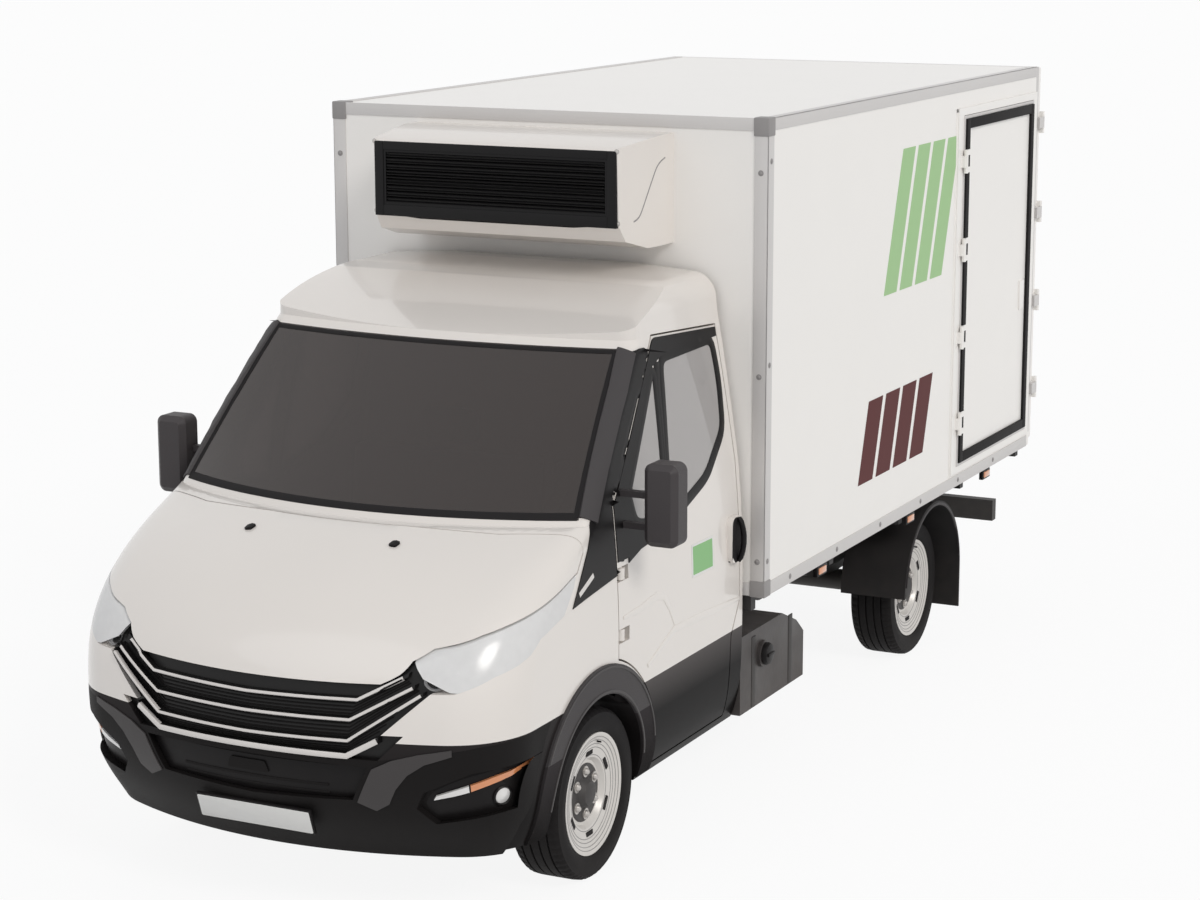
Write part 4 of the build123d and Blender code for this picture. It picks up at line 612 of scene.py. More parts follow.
TREAD_NOTCHES = 60
TREAD_RADIUS, TREAD_DEPTH, GROOVE = 0.3548, 0.008, 0.0045
SHOULDER_RADIUS, NOTCH_SHARE = 0.336, 0.982
STUD_RING, SLOT_RING, VALVE_RING, SHADE_RING_RADII = 0.09, 0.172, 0.214, (0.158, 0.19, 0.205, 0.222, 0.236)
SPOKES = range(30, 390, 60)
DISC_RISE = 0.006
HUB_DISC = [(0.001, -0.004), (0.122, -0.004), (0.122, 0.002), (0.117, 0.005), (0.068, 0.005), (0.062, 0.012),
            (0.05, 0.03), (0.034, 0.036), (0.001, 0.037)]  # radius, and rise over the stud face


def tyre_profile():
    """The tyre's section as radius and distance outwards, from the outer bead over the tread to the inside."""
    bottom = TREAD_RADIUS - TREAD_DEPTH
    tread = []
    for at in (-0.062, -0.021, 0.021, 0.062):
        tread += [(TREAD_RADIUS, at - GROOVE), (bottom, at - GROOVE * 0.7), (bottom, at + GROOVE * 0.7),
                  (TREAD_RADIUS, at + GROOVE)]
    wall = [(0.2555, -0.098), (0.266, -0.1055), (0.285, -0.1105), (0.31, -0.1122), (0.331, -0.1085),
            (0.336, -0.1095), (0.3445, -0.103), (0.352, -0.092)]
    inner = [(0.262, 0.09), (0.28, 0.1), (0.33, 0.094), (0.34, 0.07)]
    return wall + tread + [(r, -s) for r, s in wall[::-1]] + inner + [(r, -s) for r, s in inner[::-1]]


def spoke(turn):
    """The direction across the axle at a turn in degrees."""
    return Vector((0, math.cos(math.radians(turn)), math.sin(math.radians(turn))))


def dress_wheel(name, side):
    """One treaded tyre, with its hub disc, rim lines, slots, bolts and valve."""
    low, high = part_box("tyre_" + name)
    centre, out, body = (low + high) / 2, Vector((side, 0, 0)), "wheel_" + name
    profile = tyre_profile()
    form = Form().turned(profile, centre, out, steps=TREAD_NOTCHES * 3)
    shoulder = [i for i, (r, s) in enumerate(profile) if SHOULDER_RADIUS < r <= TREAD_RADIUS and abs(s) > 0.08]
    for k in range(1, TREAD_NOTCHES * 3, 3):
        for i in shoulder:
            v = form.verts[k * len(profile) + i]
            axis_point = centre + out * (v - centre).dot(out)
            form.verts[k * len(profile) + i] = axis_point + (v - axis_point) * NOTCH_SHARE
    tyre = form.place("tread_tyre_" + name, "tyre_rubber", "tyre_rubber", body, sharp=26)
    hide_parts("tyre_" + name)
    rim = tree_of("rim_" + name)

    def face(radius, turn):
        """A point of the rim's outer face."""
        ray = spoke(turn) * radius
        hit = rim.ray_cast(centre + out * 0.3 + ray, -out)[0]
        return centre + ray + out * ((hit - centre).dot(out) if hit else 0.0)

    studs = [face(STUD_RING, turn) + out * DISC_RISE for turn in SPOKES]
    level = (studs[0] - centre).dot(out) - DISC_RISE
    disc = [(r, level + rise) for r, rise in HUB_DISC]
    Form().turned(disc, centre, out).place("hub_disc_" + name, "rim_silver", "hub_dark", body)
    bolts("wheel_bolts_" + name, studs, out, 0.0165, 0.02, body)
    # Grey rings on the rim face: painted shade in the steps of the wheel disc.
    lines = Form()
    for radius in SHADE_RING_RADII:
        ring = [(face(radius, turn), out) for turn in range(0, 360, 5)]
        lines.strip(ring, 0.0035, 0.0008, loop=True, sink=0.001)
    lines.place("rim_shade_rings_" + name, "rim_silver", "corner_grey", body)
    # Black strips where the slots open: painted shade of the openings.
    slot_shade = Form()
    level = (face(SLOT_RING, 0) - centre).dot(out)
    for turn in SPOKES:
        middle = centre + out * level + spoke(turn) * SLOT_RING
        line = [(middle + spoke(turn + 90) * t / 1000, out) for t in range(-30, 31, 10)]
        slot_shade.strip(line, 0.021, 0.0012, sink=0.004)
    slot_shade.place("rim_slot_shade_" + name, "rim_silver", "gasket_black", body)
    valve = face(VALVE_RING, 75)
    Form().tube([valve, valve + out * 0.018], 0.004).place("valve_" + name, "tyre_rubber", "gasket_black", body)


def dress_wheels():
    """Makes treaded tyres, hub discs, rim lines, slots and bolts"""
    for name, side in WHEELS.items():
        dress_wheel(name, side)


# Front of the cab

BARS = [  # upper edges of the pale bars in front view, from the middle out
    [(0, 954), (467, 964), (626, 1051)],
    [(0, 880), (442, 886), (672, 1018)],
    [(0, 798), (434, 804), (706, 992)],
    [(0, 749), (429, 748), (548, 815)],
]
BAR_WIDTHS = (12, 12, 12, 22)
RIB_SHARES = (0.38, 0.56, 0.74, 0.9)  # where dark ribs run between two pale bars
FACET = [(452, 545), (484, 610), (522, 688), (600, 728), (700, 756), (820, 778), (820, 752), (720, 716), (655, 670),
         (608, 610), (575, 545), (520, 512)]
FOG_POCKET = [(685, 532), (718, 590), (790, 632), (880, 666), (968, 680), (970, 600), (950, 515), (740, 472)]
STRIP_LAMP = [(725, 563), (800, 582), (850, 597), (850, 622), (800, 604), (735, 580)]
TURN_LAMP = [(855, 599), (930, 628), (985, 652), (985, 668), (930, 652), (855, 624)]
FOG_LENS = [(0.001, -0.01), (0.033, -0.01), (0.033, 0.002), (0.028, 0.006), (0.001, 0.011)]
FOG_BEZEL = [(0.033, -0.012), (0.043, -0.012), (0.043, 0.003), (0.037, 0.008), (0.033, 0.004)]
PLATE_TILT = Vector((0, -0.35, 1)).normalized()


def full_width(half):
    """A bar's line from one side to the other, from its half."""
    return both(half[:0:-1]) + half


def dress_grille():
    """Makes the pale bars and dark ribs that follow the nose"""
    skin = Skin("front", "grille", "front_bumper")
    pale = Form()
    for half, width in zip(BARS, BAR_WIDTHS):
        line = [(u, v - 1 - width / 2) for u, v in full_width(half)]
        pale.run(skin, line, width / 1000, 0.005, 30, sink=0.012)
    pale.place("grille_bars", "grille_black", "bar_pale")
    ribs = Form()
    for above, below in zip(BARS, BARS[1:]):
        for share in RIB_SHARES:
            half = [(a[0] * 0.97 + (b[0] - a[0]) * share, a[1] + (b[1] - a[1]) * share)
                    for a, b in zip(above, below)]
            ribs.run(skin, full_width(half), 0.006, 0.004, 45)
    ribs.place("grille_ribs", "grille_black", "bumper_plastic")


def slab(centre, right, up, width, height, thick, corner=0.006):
    """A flat plate with rounded corners, facing right x up."""
    right, up = Vector(right), Vector(up)
    facing = right.cross(up)
    outline = rounded([(-width / 2, -height / 2), (width / 2, -height / 2), (width / 2, height / 2),
                       (-width / 2, height / 2)], corner)
    return Form().rings([[Vector(centre) + right * u * s + up * v * s + facing * t for u, v in outline]
                         for s, t in ((1, -thick), (1, thick * 0.5), (0.985, thick))])


def dress_bumper():
    """Makes the bumper facets, lamps and blank plate"""
    skin = Skin("front", "front_bumper", "grille", "front_fenders")
    grey, black, clear, amber = Form(), Form(), Form(), Form()
    for turn in (list, both):
        grey.panel(turn(FACET), skin, lift=0.005, cell=30)
        black.panel(turn(rounded(FOG_POCKET, 40)), skin, lift=0.001, cell=30)
        clear.panel(turn(STRIP_LAMP), skin, lift=0.012, cell=25)
        amber.panel(turn(TURN_LAMP), skin, lift=0.012, cell=25)
    grey.place("bumper_facets", "bumper_plastic", "bumper_grey")
    black.place("fog_pockets", "bumper_plastic", "black_trim")
    clear.place("strip_lamps", "lamp_glass", "lamp_pearl")
    amber.place("turn_lamps", "lamp_glass", "lamp_amber")
    lamps, bezels = Form(), Form()
    for side in (1, -1):
        point, normal = skin(side * 935, 560)
        lamps.turned(FOG_LENS, point, normal)
        bezels.turned(FOG_BEZEL, point, normal)
    lamps.place("fog_lamps", "lamp_glass", "lamp_pearl")
    bezels.place("fog_bezels", "bumper_plastic", "black_trim")
    middle = Form().panel([(-496, 686), (496, 686), (430, 556), (0, 542), (-430, 556)], skin, cell=50)
    middle.place("bumper_middle", "bumper_plastic", "black_trim")
    cover = Form().panel(rounded([(-95, 668), (64, 668), (80, 622), (-110, 622)], 10), skin, lift=0.008, cell=40)
    for v in (600, 566):
        cover.run(skin, [(-330, v), (330, v)], 0.012, 0.006)
    cover.place("tow_cover", "bumper_plastic", "bumper_plastic")
    centre = Vector((0, skin(0, 440)[0].y - 0.018, 0.44))
    plate = slab(centre, (1, 0, 0), PLATE_TILT, 0.53, 0.115, 0.006)
    plate.place("plate_holder", "bumper_plastic", "black_trim")
    blank = slab(centre + Vector((0, -0.006, -0.002)), (1, 0, 0), PLATE_TILT, 0.515, 0.1, 0.003)
    blank.place("blank_plate", "bumper_plastic", "plate_white")


def dress_headlamps():
    """Makes the bowls and strips behind the lamp lenses"""
    skin = Skin("front", "headlamps")
    bowls, strips = Form(), Form()
    for side in (1, -1):
        for u, v, radius in ((745, 1045, 0.042), (838, 1085, 0.04)):
            bowl = [(0.001, -0.045), (radius * 0.6, -0.036), (radius, -0.016), (radius * 1.08, -0.014),
                    (radius * 1.08, -0.02), (radius * 0.66, -0.042), (0.001, -0.052)]
            bowls.turned(bowl, *skin(side * u, v), steps=32)
        path = [skin(side * u, v) for u, v in dense([(700, 1012), (780, 1003), (860, 1030), (930, 1085)], 20)]
        strips.strip([(p - n * 0.012, n) for p, n in path], 0.012, 0.004)
    bowls.place("lamp_bowls", "lamp_glass", "reflector")
    strips.place("day_strips", "lamp_glass", "lamp_pearl")


def dress_screen():
    """Makes the windscreen seal"""
    skin = Skin("front", "windscreen", "cab_body")
    foot, head = (corner.z * 1000 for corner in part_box("windscreen"))
    seal = Form().run(skin, [(-925, foot + 12), (925, foot + 12)], 0.036, 0.003, 30)
    for side in (1, -1):
        seal.run(skin, [(side * 925, foot + 10), (side * 828, head - 14)], 0.03, 0.003)
    seal.run(skin, [(-826, head - 12), (826, head - 12)], 0.022, 0.003)
    seal.place("screen_seal", "dark_glass", "gasket_black")


def dress_bonnet():
    """Makes the washer jets"""
    skin = Skin("top", "bonnet")
    jets = Form()
    for u in (338, -338):
        shape = rounded([(u - 20, -500), (u + 12, -500), (u + 20, -468), (u - 12, -468)], 8)
        jets.panel(shape, skin, lift=0.009, cell=20, crown=0.004)
    jets.place("washer_jets", "bumper_plastic", "black_trim", "bonnet")


# Cab doors, pillars and mirrors, outlines in side view

MAIN_GLASS = [(780, 2035), (1308, 2042), (1323, 1857), (1298, 1643), (1074, 1472), (801, 1392), (674, 1367),
              (709, 1641)]
QUARTER_GLASS = [(674, 1991), (336, 1576), (316, 1536), (350, 1409), (637, 1360), (672, 1641), (706, 1970)]
WINDOW_CORNER = [(166, 1242), (166, 1520), (724, 2113), (752, 2122), (1360, 2082), (1358, 2042), (780, 2038),
                 (690, 2010), (336, 1590), (310, 1540), (345, 1400), (637, 1352), (655, 1338), (560, 1318),
                 (383, 1302)]
DOOR_CREASES = ([(430, 790), (694, 884), (1040, 872), (1380, 858)],
                [(200, 1052), (360, 1052), (520, 1070), (592, 1050), (650, 985), (700, 905)])
PILLAR_FOOT = [(-250, 1196), (-120, 1212), (152, 1240), (152, 1527), (674, 2078), (640, 2096), (600, 2098),
               (505, 2086), (200, 1750), (-45, 1480), (-90, 1400), (-170, 1300)]
ARCH_CENTRE = (-20, 360)


def dress_door(name, side):
    """One cab door's window surround, creases, handle and blank sign, and its mirror's faces and lamp."""
    door = Skin("side", "door_" + name, side=side)
    whole = Skin("side", "door_" + name, "door_glass_" + name, side=side)
    body = "door_" + name
    black = Form()
    for shape in (MAIN_GLASS, QUARTER_GLASS):
        black.run(whole, rounded(shape, 60), 0.05, 0.004, 35, loop=True, sink=0.004)
    black.run(door, [(742, 2022), (716, 1920), (692, 1660), (660, 1370)], 0.056, 0.004, 30)
    black.panel(WINDOW_CORNER, door, lift=0.0045, cell=25)
    black.place("window_surround_" + name, "mirror_black", "black_trim", body)
    lines = Form()
    for crease in DOOR_CREASES:
        lines.run(door, crease, 0.034, 0.0035, taper=0.5)
    lines.place("door_creases_" + name, "cab_paint", "cab_paint", body)
    recess = rounded([(1252, 1040), (1362, 1052), (1366, 1240), (1258, 1254)], 40)
    Form().panel(recess, door, cell=35).place("handle_dish_" + name, "mirror_black", "gasket_black", body)
    grip = [door(1312, v) for v in range(1052, 1246, 16)]
    arch = [0.004 + 0.026 * math.sin(math.pi * k / (len(grip) - 1)) ** 0.6 for k in range(len(grip))]
    bar = Form().tube([p + n * rise for (p, n), rise in zip(grip, arch)], 0.013)
    bar.place("handle_" + name, "mirror_black", "black_trim", body)
    sign = Form().panel([(876, 1066), (1102, 1062), (1102, 1206), (876, 1210)], door, lift=0.0015)
    field = Form().panel([(888, 1076), (1090, 1072), (1090, 1196), (888, 1200)], door, lift=0.0022)
    sign.place("blank_sign_" + name, "cab_paint", "plate_white", body)
    field.place("blank_sign_field_" + name, "cab_paint", "sign_green", body)
    low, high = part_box("mirror_" + name)
    outer, tall = high.x if side > 0 else low.x, high.z - low.z
    glass = Form()
    for foot, head in ((0.35, 0.93), (0.07, 0.3)):
        middle = (outer - side * 0.075, high.y, low.z + tall * (foot + head) / 2)
        glass.join(slab(middle, (-1, 0, 0), (0, 0, 1), 0.12, tall * (head - foot), 0.002, 0.02))
    glass.place("mirror_face_" + name, "mirror_black", "mirror_glass", body)
    middle = Vector((outer - side * 0.005, (low.y + high.y) / 2, low.z + 0.12))
    row = [(middle + Vector((0, k / 1000, 0)), Vector((side, 0, 0))) for k in range(-30, 31, 10)]
    lens = Form().strip(row, 0.016, 0.004, sink=0.006)
    lens.place("mirror_lamp_" + name, "mirror_black", "lamp_amber", body)


def dress_doors():
    """Makes window surrounds, creases, handles, signs and mirror faces"""
    for name, side in SIDES:
        dress_door(name, side)


def dress_pillars():
    """Makes the dark feet, covers and beads of the windscreen pillars"""
    for name, side in SIDES:
        skin = Skin("side", "cab_body", "front_fenders", "bonnet", side=side)
        form = Form().panel(PILLAR_FOOT, skin, lift=0.004, cell=22)
        form.place("pillar_foot_" + name, "mirror_black", "black_trim")
        face = Skin("front", "cab_body", "windscreen")
        cover = [(side * u, v) for u, v in ((966, 1506), (934, 1690), (890, 1960), (861, 2098))]
        form = Form().run(face, cover, 0.082, 0.008, 30, sink=0.008)
        form.place("pillar_cover_" + name, "mirror_black", "moulding_grey")
        bead = Form().run(skin, [(-190, 1238), (-60, 1290)], 0.03, 0.005, 20)
        bead.place("pillar_bead_" + name, "cab_paint", "bar_pale")


def dress_mouldings():
    """Makes the beads of the arch mouldings"""
    for name, side in SIDES:
        skin = Skin("side", "arch_mouldings", side=side)
        form = Form()
        for radius, start, end, width in ((428, 8, 172, 0.012), (528, 12, 150, 0.01)):
            form.strip([skin(u, v) for u, v in arc(ARCH_CENTRE, radius, start, end, 40)], width, 0.004)
        form.place("arch_beads_" + name, "moulding_grey", "bumper_grey")


# Box body

MARKERS = (0.7, 1.9, 3.1)  # side marker lamps, measured back from the front wall
RIM, SHEET, TUCK = 0.062, 0.004, 0.001  # an edge profile's width, its thickness, and how far trim reaches in


def blocks(form, side, spans, edge=0.002):
    """Blocks given as their x, y and z spans, on one side of the middle line."""
    for (x0, x1), (y0, y1), (z0, z1) in spans:
        form.box((side * x0, y0, z0), (side * x1, y1, z1), edge)


def dress_box():
    """Makes the edge profiles, corner caps, bolts and markers"""
    low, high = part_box("box_roof")
    x, y0, y1, z0, z1 = high.x, low.y, high.y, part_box("box_floor")[0].z, high.z
    skin, front = (x - TUCK, x + SHEET), (y0 - SHEET, y0 + TUCK)
    alloy, caps, marks, lenses, spots, fronts = Form(), Form(), Form(), Form(), {}, []
    for tag, side in SIDES:
        blocks(alloy, side, [
            ((x - RIM, x + SHEET), front, (z0 + RIM, z1 - 0.05)),
            (skin, (y0 - SHEET, y0 + RIM), (z0 + RIM, z1 - 0.05)),
            (skin, (y0 + 0.06, y1), (z1 - 0.052, z1 + SHEET)),
            ((x - 0.045, x + SHEET), (y0 + 0.06, y1), (z1 - TUCK, z1 + SHEET)),
            (skin, (y0 + 0.06, y1), (z0 - 0.002, z0 + 0.06))])
        blocks(caps, side, [((x - RIM - 0.004, x + 0.008), (y0 - 0.008, y0 + RIM + 0.004), span)
                            for span in ((z1 - 0.075, z1 + 0.007), (z0 - 0.004, z0 + 0.072))], 0.006)
        along = [(RIM / 2, h) for h in (0.16, 1.05, 1.95)] + [(0.3 + 0.58 * k, 0.03) for k in range(6)]
        spots[tag] = [Vector((side * (x + SHEET), y0 + depth, z0 + h)) for depth, h in along]
        fronts += [Vector((side * (x - RIM / 2), y0 - SHEET, z0 + h)) for h in (0.16, 1.0, 1.9)]
        for at in (y0 + behind for behind in MARKERS):
            blocks(marks, side, [((x - 0.02, x + 0.003), (at - 0.06, at + 0.06), (z0 - 0.055, z0 - 0.005))], 0.004)
            blocks(lenses, side, [((x - 0.01, x + 0.008), (at - 0.045, at + 0.045),
                                   (z0 - 0.046, z0 - 0.014))], 0.006)
    blocks(alloy, 1, [((-x + RIM, x - RIM), front, span) for span in ((z1 - 0.052, z1 + SHEET), (z0, z0 + 0.06))])
    alloy.place("edge_profiles", "frame_alloy", "frame_alloy")
    caps.place("corner_caps", "frame_alloy", "corner_grey")
    for tag, side in SIDES:
        bolts("edge_bolts_" + tag, spots[tag], (side, 0, 0), 0.009, 0.006, "chassis", "corner_grey")
    bolts("edge_bolts_front", fronts, (0, -1, 0), 0.009, 0.006, "chassis", "corner_grey")
    marks.place("marker_bases", "chassis_black", "black_trim")
    lenses.place("marker_lenses", "lamp_red", "lamp_amber")


def flat_patch(form, side, x, outline, lift=0.0012):
    """A thin flat film on a box side, outline in side view."""
    form.rings([[Vector((side * (x + h), AXLE_Y + u / 1000, v / 1000)) for u, v in outline]
                for h in (lift, -TUCK)])


def leaning_bars(first, last, foot, top, lean, count=4, gap=45):
    """Upright stripes of one width side by side, leaning towards the rear, in side view."""
    width = (last - first - gap * (count - 1)) / count
    starts = [first + k * (width + gap) for k in range(count)]
    return [[(u, foot), (u + width, foot), (u + width + lean, top), (u + lean, top)] for u in starts]


def dress_stripes():
    """Makes the leaning stripes on the box sides"""
    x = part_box("box_roof")[1].x
    for tag, side in SIDES:
        for level, finish, bars in (("high", "green", leaning_bars(2909, 3738, 2023, 2718, 236)),
                                    ("low", "red", leaning_bars(2602, 3511, 1138, 1532, 130))):
            form = Form()
            for bar in bars:
                flat_patch(form, side, x, bar)
            form.place(f"{level}_stripes_{tag}", "box_white", "stripe_" + finish)


def dress_side_door():
    """Makes the side door's seal, edging, latch and frame"""
    low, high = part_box("side_door")
    y0, y1, z0, z1 = low.y + 0.02, high.y - 0.006, low.z, high.z
    middle = Vector((START_OUT, (y0 + y1) / 2, (z0 + z1) / 2))
    x = tree_of("side_door").ray_cast(middle, Vector((-1, 0, 0)))[0].x
    seal, edge = Form(), Form()
    for form, inset, width, rise in ((seal, 0.014, 0.05, 0.014), (edge, -0.004, 0.017, 0.005)):
        a, b, c, d = y0 + inset, y1 - inset, z0 + inset, z1 - inset
        inner = (a + width, b - width)
        blocks(form, 1, [((x - TUCK, x + rise), across, up) for across, up in (
            ((a, a + width), (c, d)), ((b - width, b), (c, d)), (inner, (c, c + width)), (inner, (d - width, d)))])
    seal.place("side_door_seal", "box_white", "gasket_black", "side_door")
    edge.place("side_door_edging", "frame_alloy", "frame_alloy", "side_door")
    latch = Form().box((x - TUCK, y1 - 0.17, z0 + 0.7), (x + 0.01, y1 - 0.1, z0 + 0.86), 0.004)
    latch.place("side_door_latch", "frame_alloy", "box_panel", "side_door")
    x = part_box("box_roof")[1].x
    a, b, c, d = low.y - 0.075, high.y + 0.035, low.z - 0.05, high.z + 0.045
    frame_form = Form()
    blocks(frame_form, 1, [((x - TUCK, x + 0.003), across, up)
                           for across, up in (((a, a + 0.03), (c, d)), ((a, b), (d - 0.02, d)))])
    frame_form.place("side_door_frame", "frame_alloy", "box_panel")


def dress_rear():
    """Makes the rear trim, handles, lamps and blank plate"""
    for name, side in SIDES:
        body = "rear_door_" + name
        low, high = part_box(body)
        y = tree_of(body).ray_cast(Vector((side * 0.75, high.y + 1, 1.5)), Vector((0, -1, 0)))[0].y
        trim, seal, handle = Form(), Form(), Form()
        for form, inset, width, rise in ((trim, 0.0, 0.04, 0.003), (seal, 0.042, 0.012, 0.004)):
            a, b, c, d = 0.012 + inset, 1.08 - inset, low.z + 0.02 + inset, high.z - 0.02 - inset
            blocks(form, side, [(across, (y - TUCK, y + rise), up) for across, up in (
                ((a, a + width), (c, d)), ((b - width, b), (c, d)),
                ((a, b), (c, c + width)), ((a, b), (d - width, d)))])
        trim.place("rear_door_trim_" + name, "frame_alloy", "frame_alloy", body)
        seal.place("rear_door_seal_" + name, "box_white", "gasket_black", body)
        handle.tube([(side * u, y + out, z) for u, out, z in (
            (0.18, 0.012, 1.35), (0.23, 0.018, 1.35), (0.52, 0.018, 1.33))], 0.007)
        blocks(handle, side, [((0.48, 0.55), (y - TUCK, y + 0.022), (1.29, 1.37))], 0.004)
        handle.place("rear_handle_" + name, "frame_alloy", "frame_alloy", body)
        points = [Vector((side * u, y + 0.022, z)) for u in (0.5, 0.53) for z in (1.3, 1.36)]
        bolts("rear_handle_bolts_" + name, points, (0, 1, 0), 0.005, 0.004, body)
    low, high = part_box("tail_lamps")
    for k, finish in ((1, "lamp_red"), (0, "lamp_amber"), (2, "lamp_pearl")):
        lens, outer = Form(), high.x - 0.008 - 0.083 * k
        for side in (1, -1):
            blocks(lens, side, [((outer - 0.078, outer), (high.y - 0.002, high.y + 0.007),
                                 (low.z + 0.008, high.z - 0.008))], 0.006)
        lens.place("tail_" + finish, "lamp_red", finish)
    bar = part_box("underrun_bar")[1]
    plate = slab((0, bar.y + 0.003, bar.z - 0.07), (-1, 0, 0), (0, 0, 1), 0.52, 0.11, 0.003)
    plate.place("rear_blank_plate", "chassis_black", "plate_white")


def dress_cooler():
    """Makes the louvres, lip, mask and seams of the cooling unit"""
    low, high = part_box("condenser_housing")
    grille_low, grille_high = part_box("condenser_grille")
    face = Skin("front", "condenser_grille")(0, (grille_low.z + grille_high.z) * 500)[0]
    rows = [Vector((0, face.y - 0.004, grille_low.z + 0.02 + 0.0135 * k)) for k in range(17)]
    rows = [p for p in rows if p.z < grille_high.z - 0.012]
    slats("cooler_slats", rows, (1.08, 0.012, 0.003), 0.5, "unit_black")
    front = Skin("front", "condenser_housing", "condenser_grille")
    edge = [(-596, 2565), (-560, 2553), (-380, 2536), (380, 2536), (560, 2553), (596, 2565)]
    Form().run(front, edge, 0.01, 0.004).place("cooler_lip", "unit_white", "gasket_black")
    mask = Form()
    x0, x1, z0, z1 = -0.6, 0.6, 2.54, 2.872
    a0, a1, b0, b1 = grille_low.x + 0.004, grille_high.x - 0.004, grille_low.z + 0.004, grille_high.z - 0.004
    blocks(mask, 1, [(across, (grille_low.y - 0.004, grille_low.y + 0.02), up) for across, up in (
        ((x0, a0), (z0, z1)), ((a1, x1), (z0, z1)), ((a0, a1), (z0, b0)), ((a0, a1), (b1, z1)))], 0.003)
    mask.place("cooler_mask", "unit_black", "unit_black")
    seams = Form()
    y, z = (low.y - AXLE_Y) * 1000, low.z * 1000
    seam = rounded([(y + 90, z + 120), (y + 170, z + 135), (y + 320, z + 370), (y + 430, z + 395)], 60)[4:-4]
    for side in (1, -1):
        seams.run(Skin("side", "condenser_housing", side=side), seam, 0.007, 0.0015, 20)
    seams.place("cooler_seams", "unit_white", "corner_grey")
    x = high.x - 0.05
    points = [Vector((s * x, front(s * x * 1000, z)[0].y, z / 1000)) for s in (1, -1) for z in (2560, 2870)]
    bolts("cooler_bolts", points, (0, -1, 0), 0.008, 0.004, "chassis", "bolt_steel")


def dress_tank():
    """Makes the tank's straps and cap"""
    low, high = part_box("fuel_tank")
    skin = Skin("side", "fuel_tank")
    y0, y1 = ((v - AXLE_Y) * 1000 for v in (low.y, high.y))
    straps = Form()
    for share in (0.2, 0.78):
        u = y0 + (y1 - y0) * share
        straps.strip([skin(u, v) for v in range(int(low.z * 1000) + 8, int(high.z * 1000) - 8, 30)], 0.045, 0.004)
    straps.place("tank_straps", "tank_black", "chassis_black")
    point, normal = skin(1679, 528)
    cap = [(0.001, -0.004), (0.052, -0.004), (0.052, 0.012), (0.046, 0.024), (0.03, 0.028), (0.001, 0.029)]
    form = Form().turned(cap, point, normal, 36)
    form.box(point + Vector((0.02, -0.035, -0.008)), point + Vector((0.034, 0.035, 0.008)), 0.004)
    form.place("tank_cap", "tank_black", "black_trim")


def dress_guards():
    """Makes the lips of the mudguards"""
    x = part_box("mudguards")[1].x
    lips = Form()
    for side in (1, -1):
        path = [(Vector((side * x, REAR_AXLE_Y + a / 1000, 0.4 + b / 1000)), Vector((side, 0, 0)))
                for a, b in arc((0, 0), 411, 10, 172, 36)]
        lips.strip(path, 0.014, 0.004, sink=0.003)
    lips.place("guard_lips", "guard_black", "moulding_grey")


# Inside the cab

SWELL_LIMIT, CHANNEL_DEPTH, SETTLE_FRAMES = 0.012, 0.008, 16


def cushion(name, low, high, lean=0.0):
    """A stuffed pad: a rounded block swollen by cloth pressure, with two sewn channels along it."""
    form = Form().box(low, high, 0.03)
    pad = new_object(name, form.verts, form.faces)
    bm = bmesh.new()
    bm.from_mesh(pad.data)
    bmesh.ops.subdivide_edges(bm, edges=bm.edges[:], cuts=1, use_grid_fill=True)
    bmesh.ops.recalc_face_normals(bm, faces=bm.faces[:])
    bm.to_mesh(pad.data)
    bm.free()
    remesh = pad.modifiers.new("even", "REMESH")
    remesh.mode, remesh.voxel_size = "VOXEL", 0.014
    keep_result(pad)
    rest = [v.co.copy() for v in pad.data.vertices]
    swollen = rest
    cloth = pad.modifiers.new("stuffing", "CLOTH").settings
    cloth.use_pressure, cloth.uniform_pressure_force = True, 4.0
    cloth.effector_weights.gravity = 0
    cloth.quality = 4
    for frame_number in range(1, SETTLE_FRAMES + 1):
        bpy.context.scene.frame_set(frame_number)
    depsgraph = bpy.context.evaluated_depsgraph_get()
    swollen = [v.co.copy() for v in pad.evaluated_get(depsgraph).data.vertices]
    pad.modifiers.clear()
    bpy.context.scene.frame_set(1)
    low, high = Vector(low), Vector(high)
    middle, half = (low + high) / 2, (high - low) / 2
    for v, start, end in zip(pad.data.vertices, rest, swollen):
        move = end - start
        if move.length > SWELL_LIMIT:
            move = move.normalized() * SWELL_LIMIT
        place = start + move
        channel = max(0.0, 1 - abs(abs((place.x - middle.x) / half.x) - 0.55) / 0.06)
        place -= (place - middle).normalized() * CHANNEL_DEPTH * channel
        place.y += lean * (place.z - low.z)
        v.co = place
    for face in pad.data.polygons:
        face.use_smooth = True
    pad.data.materials.append(FINISH["seat_cloth"])
    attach(pad, "chassis")
    return pad


def dress_seats():
    """Makes the stuffed seat pads"""
    low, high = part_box("seats")
    edges = sorted({round(v.co.x, 3) for v in NODES["seats"].data.vertices})
    for name, x0, x1 in (("left", edges[-2], edges[-1]), ("right", edges[0], edges[1])):
        x0, x1, middle = x0 + 0.012, x1 - 0.012, (x0 + x1) / 2
        for part, across, depth, up, lean in (
                ("seat_cushion_", (x0, x1), (low.y + 0.015, high.y - 0.14), (0.012, 0.155), 0.0),
                ("seat_back_", (x0, x1), (high.y - 0.245, high.y - 0.115), (0.165, 0.66), 0.15),
                ("head_rest_", (middle - 0.13, middle + 0.13), (high.y - 0.125, high.y - 0.03),
                 (0.69, high.z - 0.015 - low.z), 0.0)):
            corners = zip(across, depth, (low.z + up[0], low.z + up[1]))
            cushion(part + name, *corners, lean=lean)
    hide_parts("seats")


